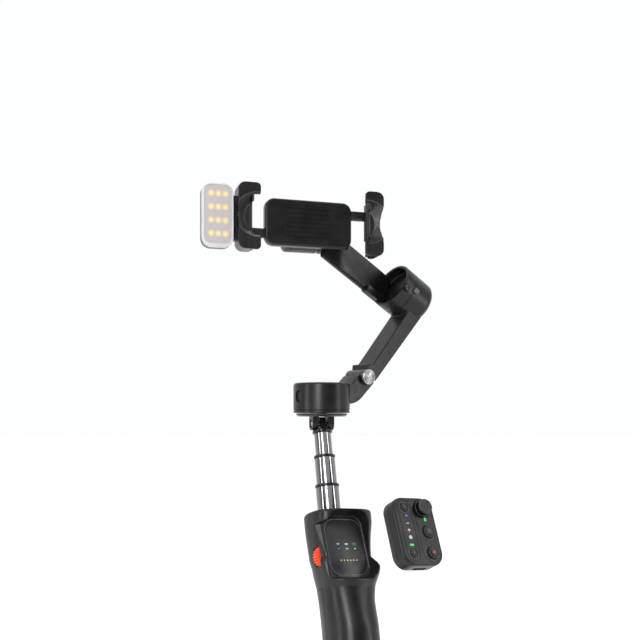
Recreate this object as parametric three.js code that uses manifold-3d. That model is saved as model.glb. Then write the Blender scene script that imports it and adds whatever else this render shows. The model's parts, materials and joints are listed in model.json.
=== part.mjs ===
// Folding three-axis phone gimbal: a grip with a telescopic rod, a pan motor, a folding slanted arm with a
// roll motor, a tilt motor with a rotating phone clamp, a clip-on fill light and a detachable remote.
// Millimetres, +Z up. The origin is the middle of the grip, where the hand closes round it.
import * as THREE from 'three';
import { mergeVertices } from 'three/addons/utils/BufferGeometryUtils.js';
import Module from 'manifold-3d';

const wasm = await Module();
wasm.setup();

const DEG = Math.PI / 180;
const GAP = 0.3;
const ROUND = 24;
const CORNER = 4;

// How the grip stands under the head: leaning back, and turned about its own axis.
const HANDLE_LEAN = 16.5 * DEG;
const HANDLE_TWIST = 15 * DEG;

// Grip and upper body, in the handle's own frame: x to the right, y to the back, z up the rod.
const GRIP_HALF_WIDTH = 16;
const GRIP_FRONT = -19.8;
const GRIP_BACK = 16.4;
const BODY_HALF_WIDTH = 18.8;
const BODY_BACK = 18.6;
const HANDLE_BOTTOM = -55;
const CELL_Y = -2.4;
const THREAD_RADIUS = 3.17;
const HANDLE_TOP = 90.8;
const SEAM_TOP = 44;
const ROD_X = -1.2;
const ROD_Y = 9;
const NECK_HEIGHT = 150;
const DIAL_RADIUS = 7.6;
const DIAL_HALF = 2.4;
const DIAL_X = -12.6;
const DIAL_Y = 0.1;
const DIAL_Z = 62.8;

// Remote control and the bay that holds it.
const PANEL_LEAN = 10 * DEG;
const REMOTE_WIDTH = 27.6;
const REMOTE_HEIGHT = 39;
const REMOTE_DEPTH = 10.4;
const REMOTE_CORNER = 7.5;
const BAY_CLEARANCE = 0.6;
const BAY_FLOOR_Y = -4.3;
const LOW_SIDE = 1.3;
const LOW_TOP = 14;
const FACET_TURN = 40 * DEG;
const BAY_CENTRE_Z = 68.6;
const RAMP_SLOPE = 36 * DEG;
const REMOTE_OUT = 59.6;
const REMOTE_DROP = 15.6;

// Places on the remote's face, measured from its middle.
const SMALL_BUTTON_X = -6.1;
const PREVIOUS_Z = 13.6;
const NEXT_Z = -12.6;
const SMALL_BUTTON_RADIUS = 2.6;
const STICK_X = 6;
const STICK_Z = 12.9;
const STICK_RADIUS = 5.2;
const MODE_X = 6.8;
const MODE_Z = -0.5;
const RECORD_Z = -12.5;
const ROUND_BUTTON_RADIUS = 3.8;
const FACE = -REMOTE_DEPTH;

// Telescopic rod: outer radius and how far each tube stands out of the one below it.
const TUBE_LENGTH = 50;
const TUBE_WALL = 0.55;
const OUTER_TUBE_RADIUS = 7.35;
const MIDDLE_TUBE_RADIUS = 6.5;
const INNER_TUBE_RADIUS = 5.45;
const OUTER_TUBE_TOP = 109.6;
const MIDDLE_TUBE_TOP = 128.6;
const INNER_TUBE_TOP = 143.5;
const LIP_HEIGHT = 1.6;

// Head: the phone's centre is the head's own origin, and the pan axis stands below it.
const PAN_X = 7.5;
const PAN_Y = 6.5;
const NECK_DROP = 132.5;
const ARM_YAW = 18.8 * DEG;
const ARM_PLANE_Y = 4;
const PAN_OFFSET = 7.9;
const PAN_RADIUS = 18.25;
const PAN_TOP = -106.3;
const PAN_BOTTOM = -125.6;
const PAN_BASE_RADIUS = 16.5;
const PAN_BASE_BOTTOM = -127.9;

// The neck: the pan base's two cheeks, the rod's tongue between them, and the pin through all three.
const CHEEK_INNER = 3.1;
const CHEEK_OUTER = 7.2;
const TONGUE_HALF = 1.9;
const NECK_RADIUS = 4.3;
const PIN_RADIUS = 1.6;

// Fold hinge and the two arms, in the arm plane: x outward, y to the back, z up.
const FOLD_X = 37.2;
const FOLD_Z = -101.9;
const FOLD_RADIUS = 5.2;
const FOLD_FRONT = -12;
const FOLD_REAR = 7;
const ARM_FRONT = -10;
const ARM_REAR = 7;

// Roll motor: its axis slants down from just under the phone's centre.
const ROLL_SLOPE = 28.6 * DEG;
const ROLL_Z = -1.5;
const ROLL_RADIUS = 16;
const ROLL_MOUTH = 75.5;
const ROLL_SEAM = 85;
const ROLL_END = 104.5;

// The plate that runs from the roll motor to the tilt motor, and the lugs on the roll motor.
const PLATE_FRONT = 10.6;
const PLATE_BACK = 15.6;
const PLATE_HALF = 9.8;
const PLATE_END = 24;
const LUG_HEIGHT = 1.3;

// Tilt motor, behind the phone, with its axis across the phone.
const TILT_Y = 33;
const TILT_Z = -4;
const TILT_RADIUS = 13.5;
const TILT_SEAM = 12.4;

// Phone clamp and fill light.
const PHONE_WIDTH = 76.7;
const PHONE_DEPTH = 8.25;
const CLAMP_Z = -3;
const JAW_HALF_HEIGHT = 20.8;
const JAW_OUTER = 47.2;
const JAW_BACK = 9.6;
const LIGHT_INNER = 52.1;
const LIGHT_WIDTH = 19.6;
const LIGHT_HEIGHT = 39.4;
const LIGHT_DEPTH = 9;

// The clamp's back, the rails that slide in it, the thumb hollows and the spring.
const BACK_FRONT = PHONE_DEPTH + 1.2;
const BACK_REAR = 16.4;
const HUB_REAR = 18.6;
const HUB_RADIUS = 11.5;
const RAIL_FRONT = 11.6;
const RAIL_REAR = 14.4;
const RAIL_REACH = 18;
const RAIL_ROOT = PHONE_WIDTH / 2 + 3.5;
const THUMB_RADIUS = 10.4;
const THUMB_X = 34.6;
const SPRING_Y = 13;
const SPRING_Z = 12.6;

const LOOKS = {
  shell: { color: 0x2b2b2d, roughness: 0.6, metalness: 0 },
  trim: { color: 0x18181a, roughness: 0.45, metalness: 0 },
  chrome: { color: 0xd8d8da, roughness: 0.12, metalness: 1 },
  steel: { color: 0x9c9ea2, roughness: 0.35, metalness: 1 },
  rubber: { color: 0x141416, roughness: 0.85, metalness: 0 },
  orange: { color: 0xe8481c, roughness: 0.5, metalness: 0 },
  copper: { color: 0xb5652f, roughness: 0.4, metalness: 1 },
  board: { color: 0x1d5a35, roughness: 0.6, metalness: 0 },
  cell: { color: 0x3d6ea5, roughness: 0.5, metalness: 0 },
  frost: { color: 0xf1efe9, roughness: 0.4, metalness: 0 },
  gold: { color: 0xcaa24a, roughness: 0.3, metalness: 1 },
};

const gimbal = new THREE.Group();

// ---------------------------------------------------------------- solids and booleans

function toSolid(geometry) {
  const bare = geometry.clone();
  bare.deleteAttribute('normal');
  bare.deleteAttribute('uv');
  const merged = mergeVertices(bare, 1e-4);
  return new wasm.Manifold(new wasm.Mesh({
    numProp: 3,
    vertProperties: new Float32Array(merged.attributes.position.array),
    triVerts: new Uint32Array(merged.index.array),
  }));
}

function toGeometry(solid) {
  const mesh = solid.getMesh();
  const geometry = new THREE.BufferGeometry();
  geometry.setAttribute('position', new THREE.BufferAttribute(mesh.vertProperties, 3));
  geometry.setIndex(new THREE.BufferAttribute(mesh.triVerts, 1));
  geometry.computeVertexNormals();
  return geometry;
}

function join(first, ...others) {
  return toGeometry(others.reduce((sum, other) => sum.add(toSolid(other)), toSolid(first)));
}

function cut(first, ...others) {
  return toGeometry(others.reduce((rest, other) => rest.subtract(toSolid(other)), toSolid(first)));
}

function overlap(first, second) {
  return toGeometry(toSolid(first).intersect(toSolid(second)));
}

function addPart(group, name, look, geometry) {
  const mesh = new THREE.Mesh(geometry, new THREE.MeshStandardMaterial(LOOKS[look]));
  mesh.name = name;
  group.add(mesh);
  return mesh;
}

// ---------------------------------------------------------------- basic shapes

function box(x0, x1, y0, y1, z0, z1) {
  const geometry = new THREE.BoxGeometry(x1 - x0, y1 - y0, z1 - z0);
  return geometry.translate((x0 + x1) / 2, (y0 + y1) / 2, (z0 + z1) / 2);
}

function discX(radius, x0, x1, y = 0, z = 0, sides = ROUND) {
  const geometry = new THREE.CylinderGeometry(radius, radius, x1 - x0, sides);
  return geometry.rotateZ(Math.PI / 2).translate((x0 + x1) / 2, y, z);
}

function discY(radius, y0, y1, x = 0, z = 0, sides = ROUND) {
  const geometry = new THREE.CylinderGeometry(radius, radius, y1 - y0, sides);
  return geometry.translate(x, (y0 + y1) / 2, z);
}

function discZ(radius, z0, z1, x = 0, y = 0, sides = ROUND) {
  const geometry = new THREE.CylinderGeometry(radius, radius, z1 - z0, sides);
  return geometry.rotateX(Math.PI / 2).translate(x, y, (z0 + z1) / 2);
}

function tubeZ(outer, inner, z0, z1, sides = ROUND) {
  return cut(discZ(outer, z0, z1, 0, 0, sides), discZ(inner, z0 - 1, z1 + 1, 0, 0, sides));
}

function roundedRectangle(width, height, radius) {
  const shape = new THREE.Shape();
  const x = width / 2 - radius;
  const y = height / 2 - radius;
  shape.absarc(x, y, radius, 0, Math.PI / 2);
  shape.absarc(-x, y, radius, Math.PI / 2, Math.PI);
  shape.absarc(-x, -y, radius, Math.PI, 1.5 * Math.PI);
  shape.absarc(x, -y, radius, 1.5 * Math.PI, 2 * Math.PI);
  shape.closePath();
  return shape;
}

// A rounded rectangle in the x-z plane, given its depth along y.
function slabY(width, height, radius, y0, y1, x = 0, z = 0) {
  const settings = { depth: y1 - y0, bevelEnabled: false, curveSegments: CORNER };
  const geometry = new THREE.ExtrudeGeometry(roundedRectangle(width, height, radius), settings);
  return geometry.rotateX(Math.PI / 2).translate(x, y1, z);
}

// An outline in the x-z plane, given its depth along y.
function extrudeY(shape, y0, y1, curveSegments = 6) {
  const settings = { depth: y1 - y0, bevelEnabled: false, curveSegments };
  return new THREE.ExtrudeGeometry(shape, settings).rotateX(Math.PI / 2).translate(0, y1, 0);
}

// A skin stretched over level sections; each gives its height, half width, front and back, and may stand
// to one side by its middle.
function loft(sections, sides) {
  const positions = [];
  for (const { z, middle = 0, halfWidth, front, back, squareness } of sections) {
    for (let i = 0; i < sides; i += 1) {
      const angle = (2 * Math.PI * i) / sides;
      const c = Math.cos(angle);
      const s = Math.sin(angle);
      const x = middle + halfWidth * Math.sign(c) * Math.abs(c) ** (2 / squareness);
      const bulge = Math.sign(s) * Math.abs(s) ** (2 / squareness);
      positions.push(x, (front + back) / 2 + ((back - front) / 2) * bulge, z);
    }
  }
  const last = sections.length - 1;
  const triangles = [];
  for (let ring = 0; ring < last; ring += 1) {
    for (let i = 0; i < sides; i += 1) {
      const a = ring * sides + i;
      const b = ring * sides + ((i + 1) % sides);
      triangles.push(a, b, b + sides, a, b + sides, a + sides);
    }
  }
  for (let i = 1; i < sides - 1; i += 1) {
    triangles.push(0, i + 1, i);
    triangles.push(last * sides, last * sides + i, last * sides + i + 1);
  }
  const geometry = new THREE.BufferGeometry();
  geometry.setAttribute('position', new THREE.Float32BufferAttribute(positions, 3));
  geometry.setIndex(triangles);
  return geometry;
}

// ---------------------------------------------------------------- handle

const handle = new THREE.Group();
handle.rotation.set(-HANDLE_LEAN, 0, HANDLE_TWIST);
gimbal.add(handle);

function handleBody() {
  const grip = {
    middle: -0.4, halfWidth: GRIP_HALF_WIDTH, front: GRIP_FRONT, back: GRIP_BACK, squareness: 2.2,
  };
  const body = { middle: 0.6, halfWidth: BODY_HALF_WIDTH, back: BODY_BACK, squareness: 3 };
  const hood = { ...body, middle: 0.8, halfWidth: BODY_HALF_WIDTH + 1.4 };
  return loft([
    { ...grip, z: HANDLE_BOTTOM },
    { ...grip, z: 18 },
    { ...grip, z: 34, front: GRIP_FRONT + 2 },
    { ...grip, z: 43.5, middle: 0.2, halfWidth: GRIP_HALF_WIDTH + 0.7, front: -17.2, squareness: 2.6 },
    { ...body, z: 55, back: BODY_BACK - 1.3, front: -19 },
    { ...body, z: 57.5, back: BODY_BACK - 1.1, front: -16.6 },
    { ...body, z: 62, halfWidth: BODY_HALF_WIDTH + 0.2, back: BODY_BACK - 0.9, front: -9.8 },
    { ...body, z: 70, middle: 0.4, halfWidth: BODY_HALF_WIDTH + 0.5, front: -10.6 },
    { ...hood, z: 77, front: -11 },
    { ...hood, z: 84, front: -12 },
    { ...hood, z: HANDLE_TOP, front: -11.8 },
  ], 32);
}

// The bay's own frame lies on its floor: x to the right, y out of the wall behind, z up the panel.
function onPanel(geometry) {
  return geometry.rotateX(-PANEL_LEAN).translate(0, BAY_FLOOR_Y, BAY_CENTRE_Z);
}

function bayHollow() {
  const width = REMOTE_WIDTH + 2 * BAY_CLEARANCE;
  const height = REMOTE_HEIGHT + 2 * BAY_CLEARANCE;
  const pocket = slabY(width, height, REMOTE_CORNER, -30, 0);
  const aboveRamp = box(-30, 30, -30, 30, 0, 60)
    .rotateX(RAMP_SLOPE).translate(0, -1, -height / 2);
  const lowLeft = box(-22, width / 2 - 4, -30, -LOW_SIDE, -50, LOW_TOP);
  const facet = box(-12, 12, -20, 0, -50, LOW_TOP)
    .rotateZ(-FACET_TURN).translate(-width / 2 - 3.1, 0, 0);
  return onPanel(join(pocket, overlap(join(lowLeft, facet), aboveRamp)));
}

function makeShells() {
  const body = handleBody();
  const rearZone = box(-40, 40, 0, 40, HANDLE_BOTTOM - 10, SEAM_TOP);
  const cellRoom = discZ(9.7, HANDLE_BOTTOM + 2.5, 13.4, 0, CELL_Y);
  const rodRoom = discZ(OUTER_TUBE_RADIUS + 0.15, SEAM_TOP - 0.5, HANDLE_TOP + 10, ROD_X, ROD_Y);
  const boardRoom = box(-9, 9, CELL_Y - 12.9, CELL_Y - 10.9, HANDLE_BOTTOM + 5, 24);
  const boardPassage = box(-3, 3, CELL_Y - 12, CELL_Y - 8, -20, 13);
  const baseRoom = discZ(12.2, HANDLE_BOTTOM - 1, HANDLE_BOTTOM + 2.5, 0, CELL_Y);
  const slotHalf = DIAL_HALF + 0.6;
  const dialSlot = discY(DIAL_RADIUS + 0.5, DIAL_Y - slotHalf, DIAL_Y + slotHalf, DIAL_X, DIAL_Z);
  const triggerRoom = box(-6.3, 6.3, 7, 24, 13.7, 32.3);
  const powerRoom = box(15.3, 24, -1.3, 5.3, 60.7, 71.3);
  const portRoom = box(16, 24, 8, 16, 77, 81);
  const rooms = [cellRoom, rodRoom, boardRoom, boardPassage, baseRoom];
  const front = cut(body, rearZone, bayHollow(), pogoRoom(), dialSlot, powerRoom, portRoom, ...rooms);
  const rear = overlap(body, rearZone);
  addPart(handle, 'handle_front_shell', 'shell', front);
  addPart(handle, 'handle_rear_shell', 'shell', cut(rear.translate(0, GAP, -GAP), triggerRoom, ...rooms));
}

function pogoRoom() {
  return onPanel(box(-7.3, 9.3, -1, 1.6, -11.3, -6.7));
}

function makeHandleInsides() {
  addPart(handle, 'battery_cell', 'cell', discZ(9.15, HANDLE_BOTTOM + 3.2, 13.2, 0, CELL_Y, 24));
  const board = box(-8.6, 8.6, CELL_Y - 12.5, CELL_Y - 11.1, HANDLE_BOTTOM + 5.4, 23.6);
  addPart(handle, 'control_board', 'board', board);
  addPart(handle, 'pogo_block', 'gold', onPanel(box(-7, 9, 0, 1.3, -11, -7)));
  const socket = discZ(THREAD_RADIUS + 1, HANDLE_BOTTOM - 3, HANDLE_BOTTOM + 8, 0, CELL_Y);
  const cap = cut(discZ(11.9, HANDLE_BOTTOM - 1.8, HANDLE_BOTTOM + 2.2, 0, CELL_Y), socket);
  addPart(handle, 'base_cap', 'rubber', cap);
  const insert = tubeZ(THREAD_RADIUS + 0.7, THREAD_RADIUS, HANDLE_BOTTOM - 1.5, HANDLE_BOTTOM + 2.2, 20);
  addPart(handle, 'tripod_thread_insert', 'steel', insert.translate(0, CELL_Y, 0));
}

// A ribbed wheel half sunk in the left side; its axle runs front to back.
function makeDial() {
  const teeth = 26;
  const outline = new THREE.Shape();
  for (let i = 0; i < teeth * 2; i += 1) {
    const angle = (Math.PI * i) / teeth;
    const radius = i % 2 ? DIAL_RADIUS : DIAL_RADIUS - 0.5;
    const point = [radius * Math.cos(angle), radius * Math.sin(angle)];
    if (i) outline.lineTo(...point);
    else outline.moveTo(...point);
  }
  outline.closePath();
  const wheel = extrudeY(outline, DIAL_Y - DIAL_HALF, DIAL_Y + DIAL_HALF).translate(DIAL_X, 0, DIAL_Z);
  addPart(handle, 'zoom_dial', 'orange', wheel);
}

function makeHandleButtons() {
  const trigger = slabY(12, 18, 4, 9.7, 18.2, 0, 23);
  addPart(handle, 'trigger', 'trim', trigger);
  const power = slabY(6, 10, 2.9, 0, 4).rotateZ(-Math.PI / 2).translate(16.4, 2, 66);
  addPart(handle, 'power_button', 'trim', power);
}

makeShells();
makeHandleInsides();
makeDial();
makeHandleButtons();

// ---------------------------------------------------------------- telescopic rod

const rod = new THREE.Group();
rod.position.set(ROD_X, ROD_Y, 0);
handle.add(rod);

function rodTube(name, radius, top, bore) {
  const body = tubeZ(radius, bore, top - TUBE_LENGTH, top - LIP_HEIGHT - GAP, 28);
  addPart(rod, name, 'chrome', body);
}

function rodLip(name, radius, top, bore) {
  addPart(rod, name, 'trim', tubeZ(radius, bore, top - LIP_HEIGHT, top, 28));
}

// The neck: the rod's head is a collar with one tongue, which turns between the pan base's two cheeks.
function rodHead() {
  const collar = discZ(6.4, INNER_TUBE_TOP, INNER_TUBE_TOP + 1.9, 0, 0, 28);
  const tongue = box(-TONGUE_HALF, TONGUE_HALF, -NECK_RADIUS, NECK_RADIUS, INNER_TUBE_TOP + 1, NECK_HEIGHT);
  const knuckle = discX(NECK_RADIUS, -TONGUE_HALF, TONGUE_HALF, 0, NECK_HEIGHT, 28);
  const hole = discX(PIN_RADIUS + 0.1, -10, 10, 0, NECK_HEIGHT, 20);
  return cut(join(collar, tongue, knuckle), hole);
}

function makeRod() {
  rodTube('rod_outer_tube', OUTER_TUBE_RADIUS, OUTER_TUBE_TOP, OUTER_TUBE_RADIUS - TUBE_WALL);
  rodLip('rod_outer_lip', OUTER_TUBE_RADIUS + 0.1, OUTER_TUBE_TOP, MIDDLE_TUBE_RADIUS + 0.15);
  rodTube('rod_middle_tube', MIDDLE_TUBE_RADIUS, MIDDLE_TUBE_TOP, MIDDLE_TUBE_RADIUS - TUBE_WALL);
  rodLip('rod_middle_lip', MIDDLE_TUBE_RADIUS + 0.1, MIDDLE_TUBE_TOP, INNER_TUBE_RADIUS + 0.15);
  const inner = tubeZ(INNER_TUBE_RADIUS, 3.4, INNER_TUBE_TOP - TUBE_LENGTH, INNER_TUBE_TOP - GAP, 28);
  addPart(rod, 'rod_inner_tube', 'chrome', inner);
  addPart(rod, 'rod_head', 'trim', rodHead().rotateZ(-HANDLE_TWIST));
}

makeRod();

// ---------------------------------------------------------------- remote control

const remote = new THREE.Group();
const bayFloor = new THREE.Vector3(0, BAY_FLOOR_Y, BAY_CENTRE_Z);
const panelUp = new THREE.Vector3(0, Math.sin(PANEL_LEAN), Math.cos(PANEL_LEAN));
const panelOut = new THREE.Vector3(0, -Math.cos(PANEL_LEAN), Math.sin(PANEL_LEAN));
remote.position.copy(bayFloor)
  .addScaledVector(panelOut, REMOTE_OUT + GAP)
  .addScaledVector(panelUp, -REMOTE_DROP);
remote.rotation.set(-PANEL_LEAN, 0, 0);
handle.add(remote);

function makeRemoteCase() {
  const halfway = -REMOTE_DEPTH / 2;
  const back = cut(
    slabY(REMOTE_WIDTH, REMOTE_HEIGHT, REMOTE_CORNER, halfway, 0),
    slabY(REMOTE_WIDTH - 3, REMOTE_HEIGHT - 3, REMOTE_CORNER - 1.5, halfway - 5, -1.4),
    box(-4.5, 4.5, -5.6, -2.4, -REMOTE_HEIGHT / 2 - 1, -REMOTE_HEIGHT / 2 + 5),
  );
  const wells = [
    discY(SMALL_BUTTON_RADIUS + 0.3, FACE - 5, 5, SMALL_BUTTON_X, PREVIOUS_Z, 16),
    discY(SMALL_BUTTON_RADIUS + 0.3, FACE - 5, 5, SMALL_BUTTON_X, NEXT_Z, 16),
    discY(STICK_RADIUS + 0.4, FACE - 5, 5, STICK_X, STICK_Z, 20),
    discY(ROUND_BUTTON_RADIUS + 0.3, FACE - 5, 5, MODE_X, MODE_Z, 20),
    discY(ROUND_BUTTON_RADIUS + 0.3, FACE - 5, 5, MODE_X, RECORD_Z, 20),
  ];
  const front = cut(
    slabY(REMOTE_WIDTH, REMOTE_HEIGHT, REMOTE_CORNER, FACE, halfway - GAP),
    slabY(REMOTE_WIDTH - 3, REMOTE_HEIGHT - 3, REMOTE_CORNER - 1.5, FACE + 1.4, 1),
    ...wells,
  );
  addPart(remote, 'remote_back_case', 'shell', back);
  addPart(remote, 'remote_front_case', 'shell', front);
}

function makeRemoteInsides() {
  const board = slabY(REMOTE_WIDTH - 4, REMOTE_HEIGHT - 4, REMOTE_CORNER - 2, -6.6, -5.8);
  addPart(remote, 'remote_board', 'board', board);
  const cell = box(-10, 10, -4.9, -1.8, -12, 14);
  addPart(remote, 'remote_cell', 'cell', cell);
}

function makeRemoteControls() {
  const low = FACE + 3;
  const small = (z) => discY(SMALL_BUTTON_RADIUS, FACE - 0.8, low, SMALL_BUTTON_X, z, 16);
  addPart(remote, 'previous_button', 'trim', small(PREVIOUS_Z));
  addPart(remote, 'next_button', 'trim', small(NEXT_Z));
  const round = (z) => discY(ROUND_BUTTON_RADIUS, FACE - 1.3, low, MODE_X, z, 20);
  addPart(remote, 'mode_button', 'trim', round(MODE_Z));
  addPart(remote, 'record_button', 'trim', round(RECORD_Z));
  const ring = cut(
    discY(STICK_RADIUS, FACE - 1.2, low, STICK_X, STICK_Z),
    discY(STICK_RADIUS - 1.2, FACE - 3, low + 3, STICK_X, STICK_Z),
  );
  addPart(remote, 'joystick_ring', 'trim', ring);
  const profile = [
    [0, 3.2], [1.7, 3.2], [1.7, -1.2], [3.1, -2.2], [4.4, -2.6],
    [4.4, -3.8], [3.6, -4.4], [0, -4],
  ].map(([radius, height]) => new THREE.Vector2(radius, height));
  const stick = new THREE.LatheGeometry(profile.reverse(), 20);
  addPart(remote, 'joystick', 'rubber', stick.translate(STICK_X, FACE, STICK_Z));
}

makeRemoteCase();
makeRemoteInsides();
makeRemoteControls();

// ---------------------------------------------------------------- head

const head = new THREE.Group();
const neck = new THREE.Vector3(ROD_X, ROD_Y, NECK_HEIGHT).applyEuler(handle.rotation);
head.position.set(neck.x - PAN_X, neck.y - PAN_Y, neck.z + NECK_DROP);
gimbal.add(head);

const arms = new THREE.Group();
arms.position.set(0, ARM_PLANE_Y, 0);
arms.rotation.set(0, 0, ARM_YAW);
head.add(arms);

// ---------------------------------------------------------------- pan motor and first arm

const pan = new THREE.Group();
pan.position.set(PAN_OFFSET, 0, 0);
arms.add(pan);

// The cheeks hang across the head, so they turn back by the arms' yaw.
function makePanBase() {
  const plate = discZ(PAN_BASE_RADIUS, PAN_BASE_BOTTOM, PAN_BOTTOM - GAP, 0, 0, 40);
  const post = discZ(3, PAN_BOTTOM - 1, PAN_BOTTOM + 12, 0, 0, 20);
  const cheeks = [-1, 1].map((side) => {
    const inner = side * CHEEK_INNER;
    const outer = side * CHEEK_OUTER;
    const [x0, x1] = [Math.min(inner, outer), Math.max(inner, outer)];
    return join(
      box(x0, x1, -NECK_RADIUS, NECK_RADIUS, -NECK_DROP, PAN_BASE_BOTTOM + 0.5),
      discX(NECK_RADIUS, x0, x1, 0, -NECK_DROP, 24),
    );
  });
  const hole = discX(PIN_RADIUS + 0.1, -12, 12, 0, -NECK_DROP, 20);
  const base = cut(join(plate, post, ...cheeks), hole);
  addPart(pan, 'pan_base', 'trim', base.rotateZ(-ARM_YAW));
  const pin = discX(PIN_RADIUS, -CHEEK_OUTER + 0.2, CHEEK_OUTER - 0.2, 0, -NECK_DROP, 16);
  addPart(pan, 'neck_pin', 'steel', pin.rotateZ(-ARM_YAW));
}

function makePanMotor() {
  const low = PAN_BOTTOM + 0.5;
  addPart(pan, 'pan_stator', 'copper', tubeZ(11.2, 3.2, low + 1, low + 11, 24));
  addPart(pan, 'pan_magnet_ring', 'steel', tubeZ(14.2, 11.9, low + 1, low + 11, 32));
  addPart(pan, 'pan_bearing', 'steel', tubeZ(5.6, 3.2, low + 12.2, low + 15, 24));
}

function firstArmOutline() {
  const outline = new THREE.Shape();
  outline.moveTo(PAN_OFFSET + 8, PAN_TOP);
  outline.lineTo(26, PAN_TOP);
  outline.quadraticCurveTo(29, PAN_TOP + 0.5, FOLD_X - 6, FOLD_Z + 1.4);
  outline.lineTo(FOLD_X, FOLD_Z);
  outline.lineTo(FOLD_X + 7.3, FOLD_Z - 2.9);
  outline.lineTo(34.7, -114.3);
  outline.quadraticCurveTo(30, -119.4, 23, -119.7);
  outline.lineTo(PAN_OFFSET + 8, -119.7);
  outline.closePath();
  return outline;
}

function makePanHousing() {
  const cup = cut(
    discZ(PAN_RADIUS, PAN_BOTTOM, PAN_TOP, PAN_OFFSET, 0, 40),
    discZ(14.6, PAN_BOTTOM - 1, PAN_BOTTOM + 12.2, PAN_OFFSET, 0, 32),
    discZ(6, PAN_BOTTOM - 1, PAN_BOTTOM + 15.8, PAN_OFFSET, 0, 24),
  );
  const arm = cut(
    extrudeY(firstArmOutline(), ARM_FRONT, ARM_REAR),
    discZ(PAN_RADIUS - 2, PAN_BOTTOM - 5, PAN_TOP + 5, PAN_OFFSET, 0, 40),
    discY(FOLD_RADIUS + GAP, -20, 20, FOLD_X, FOLD_Z),
  );
  addPart(arms, 'pan_housing', 'shell', join(cup, arm));
}

function makeFoldHinge() {
  const barrel = discY(FOLD_RADIUS, FOLD_FRONT, FOLD_REAR, FOLD_X, FOLD_Z);
  const bore = discY(2.4, -20, 20, FOLD_X, FOLD_Z, 20);
  addPart(arms, 'fold_barrel', 'steel', cut(barrel, bore));
  const head = discY(FOLD_RADIUS - 0.2, FOLD_FRONT - 1, FOLD_FRONT - GAP, FOLD_X, FOLD_Z);
  const shank = discY(2.1, FOLD_FRONT - 1, FOLD_REAR, FOLD_X, FOLD_Z, 20);
  addPart(arms, 'fold_pin', 'steel', join(head, shank));
}

makePanBase();
makePanMotor();
makePanHousing();
makeFoldHinge();

// ---------------------------------------------------------------- second arm and roll motor

// The roll motor's own frame: x down the roll axis away from the phone, y to the back.
const roll = new THREE.Group();
roll.position.set(0, 0, ROLL_Z);
roll.rotation.set(0, ROLL_SLOPE, 0);
arms.add(roll);

function alongRoll(geometry) {
  return geometry.rotateY(ROLL_SLOPE).translate(0, 0, ROLL_Z);
}

function secondArmOutline() {
  const outline = new THREE.Shape();
  outline.moveTo(42.9, -93.1);
  outline.lineTo(80, -48.5);
  outline.lineTo(94, -50);
  outline.lineTo(FOLD_X + 7.6, FOLD_Z - 2.6);
  outline.lineTo(FOLD_X, FOLD_Z);
  outline.lineTo(FOLD_X + 1.2, FOLD_Z + 8.8);
  outline.closePath();
  return outline;
}

function makeRollArm() {
  const can = alongRoll(join(
    discX(ROLL_RADIUS, ROLL_SEAM + GAP, ROLL_END - 5, 0, 0, 40),
    new THREE.CylinderGeometry(ROLL_RADIUS, ROLL_RADIUS - 5, 5, 40)
      .rotateZ(Math.PI / 2).translate(ROLL_END - 2.5, 0, 0),
  ));
  const bar = cut(
    extrudeY(secondArmOutline(), ARM_FRONT, ARM_REAR),
    discY(FOLD_RADIUS + GAP, -20, 20, FOLD_X, FOLD_Z),
    alongRoll(discX(30, 40, ROLL_SEAM + GAP)),
  );
  const hollow = alongRoll(discX(13.6, ROLL_SEAM - 2, ROLL_SEAM + 11));
  addPart(arms, 'roll_arm', 'shell', cut(join(bar, can), hollow));
}

function makeRollMotor() {
  const stator = discX(10.4, ROLL_SEAM + 1.6, ROLL_SEAM + 10.4, 0, 0, 24);
  const shaftRoom = discX(3.3, ROLL_SEAM - 5, ROLL_SEAM + 20, 0, 0, 20);
  addPart(roll, 'roll_stator', 'copper', cut(stator, shaftRoom));
  const ring = cut(discX(13.2, ROLL_SEAM + 1.6, ROLL_SEAM + 10.4), discX(11, ROLL_SEAM, ROLL_SEAM + 12));
  addPart(roll, 'roll_magnet_ring', 'steel', ring);
}

// The rotor is an open cup, and the third arm grows out of its rear wall towards the tilt motor.
function makeTiltArm() {
  const cup = cut(
    discX(ROLL_RADIUS, ROLL_MOUTH, ROLL_SEAM, 0, 0, 40),
    discX(13.8, ROLL_MOUTH - 5, ROLL_SEAM - 2.5),
  );
  const shaft = discX(2.9, ROLL_SEAM - 3, ROLL_SEAM + 10, 0, 0, 20);
  const plate = box(PLATE_END, ROLL_MOUTH + 6, PLATE_FRONT, PLATE_BACK, -PLATE_HALF, PLATE_HALF);
  const lower = box(ROLL_MOUTH - 12, ROLL_MOUTH + 4, 6, 14.2, -PLATE_HALF - 2, -PLATE_HALF + 3);
  const arm = join(cup, shaft, overlap(join(plate, lower), discX(ROLL_RADIUS + 0.6, 0, 100, 0, 0, 40)));
  const motorCase = discX(TILT_RADIUS, TILT_SEAM, TILT_SEAM + 20, TILT_Y, TILT_Z);
  const hollow = discX(11, TILT_SEAM - 2, TILT_SEAM + 13, TILT_Y, TILT_Z);
  addPart(head, 'tilt_arm', 'shell', cut(join(motorCase, fromRollToHead(arm)), hollow));
}

function fromRollToHead(geometry) {
  return geometry.rotateY(ROLL_SLOPE).translate(0, 0, ROLL_Z).rotateZ(ARM_YAW).translate(0, ARM_PLANE_Y, 0);
}

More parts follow.
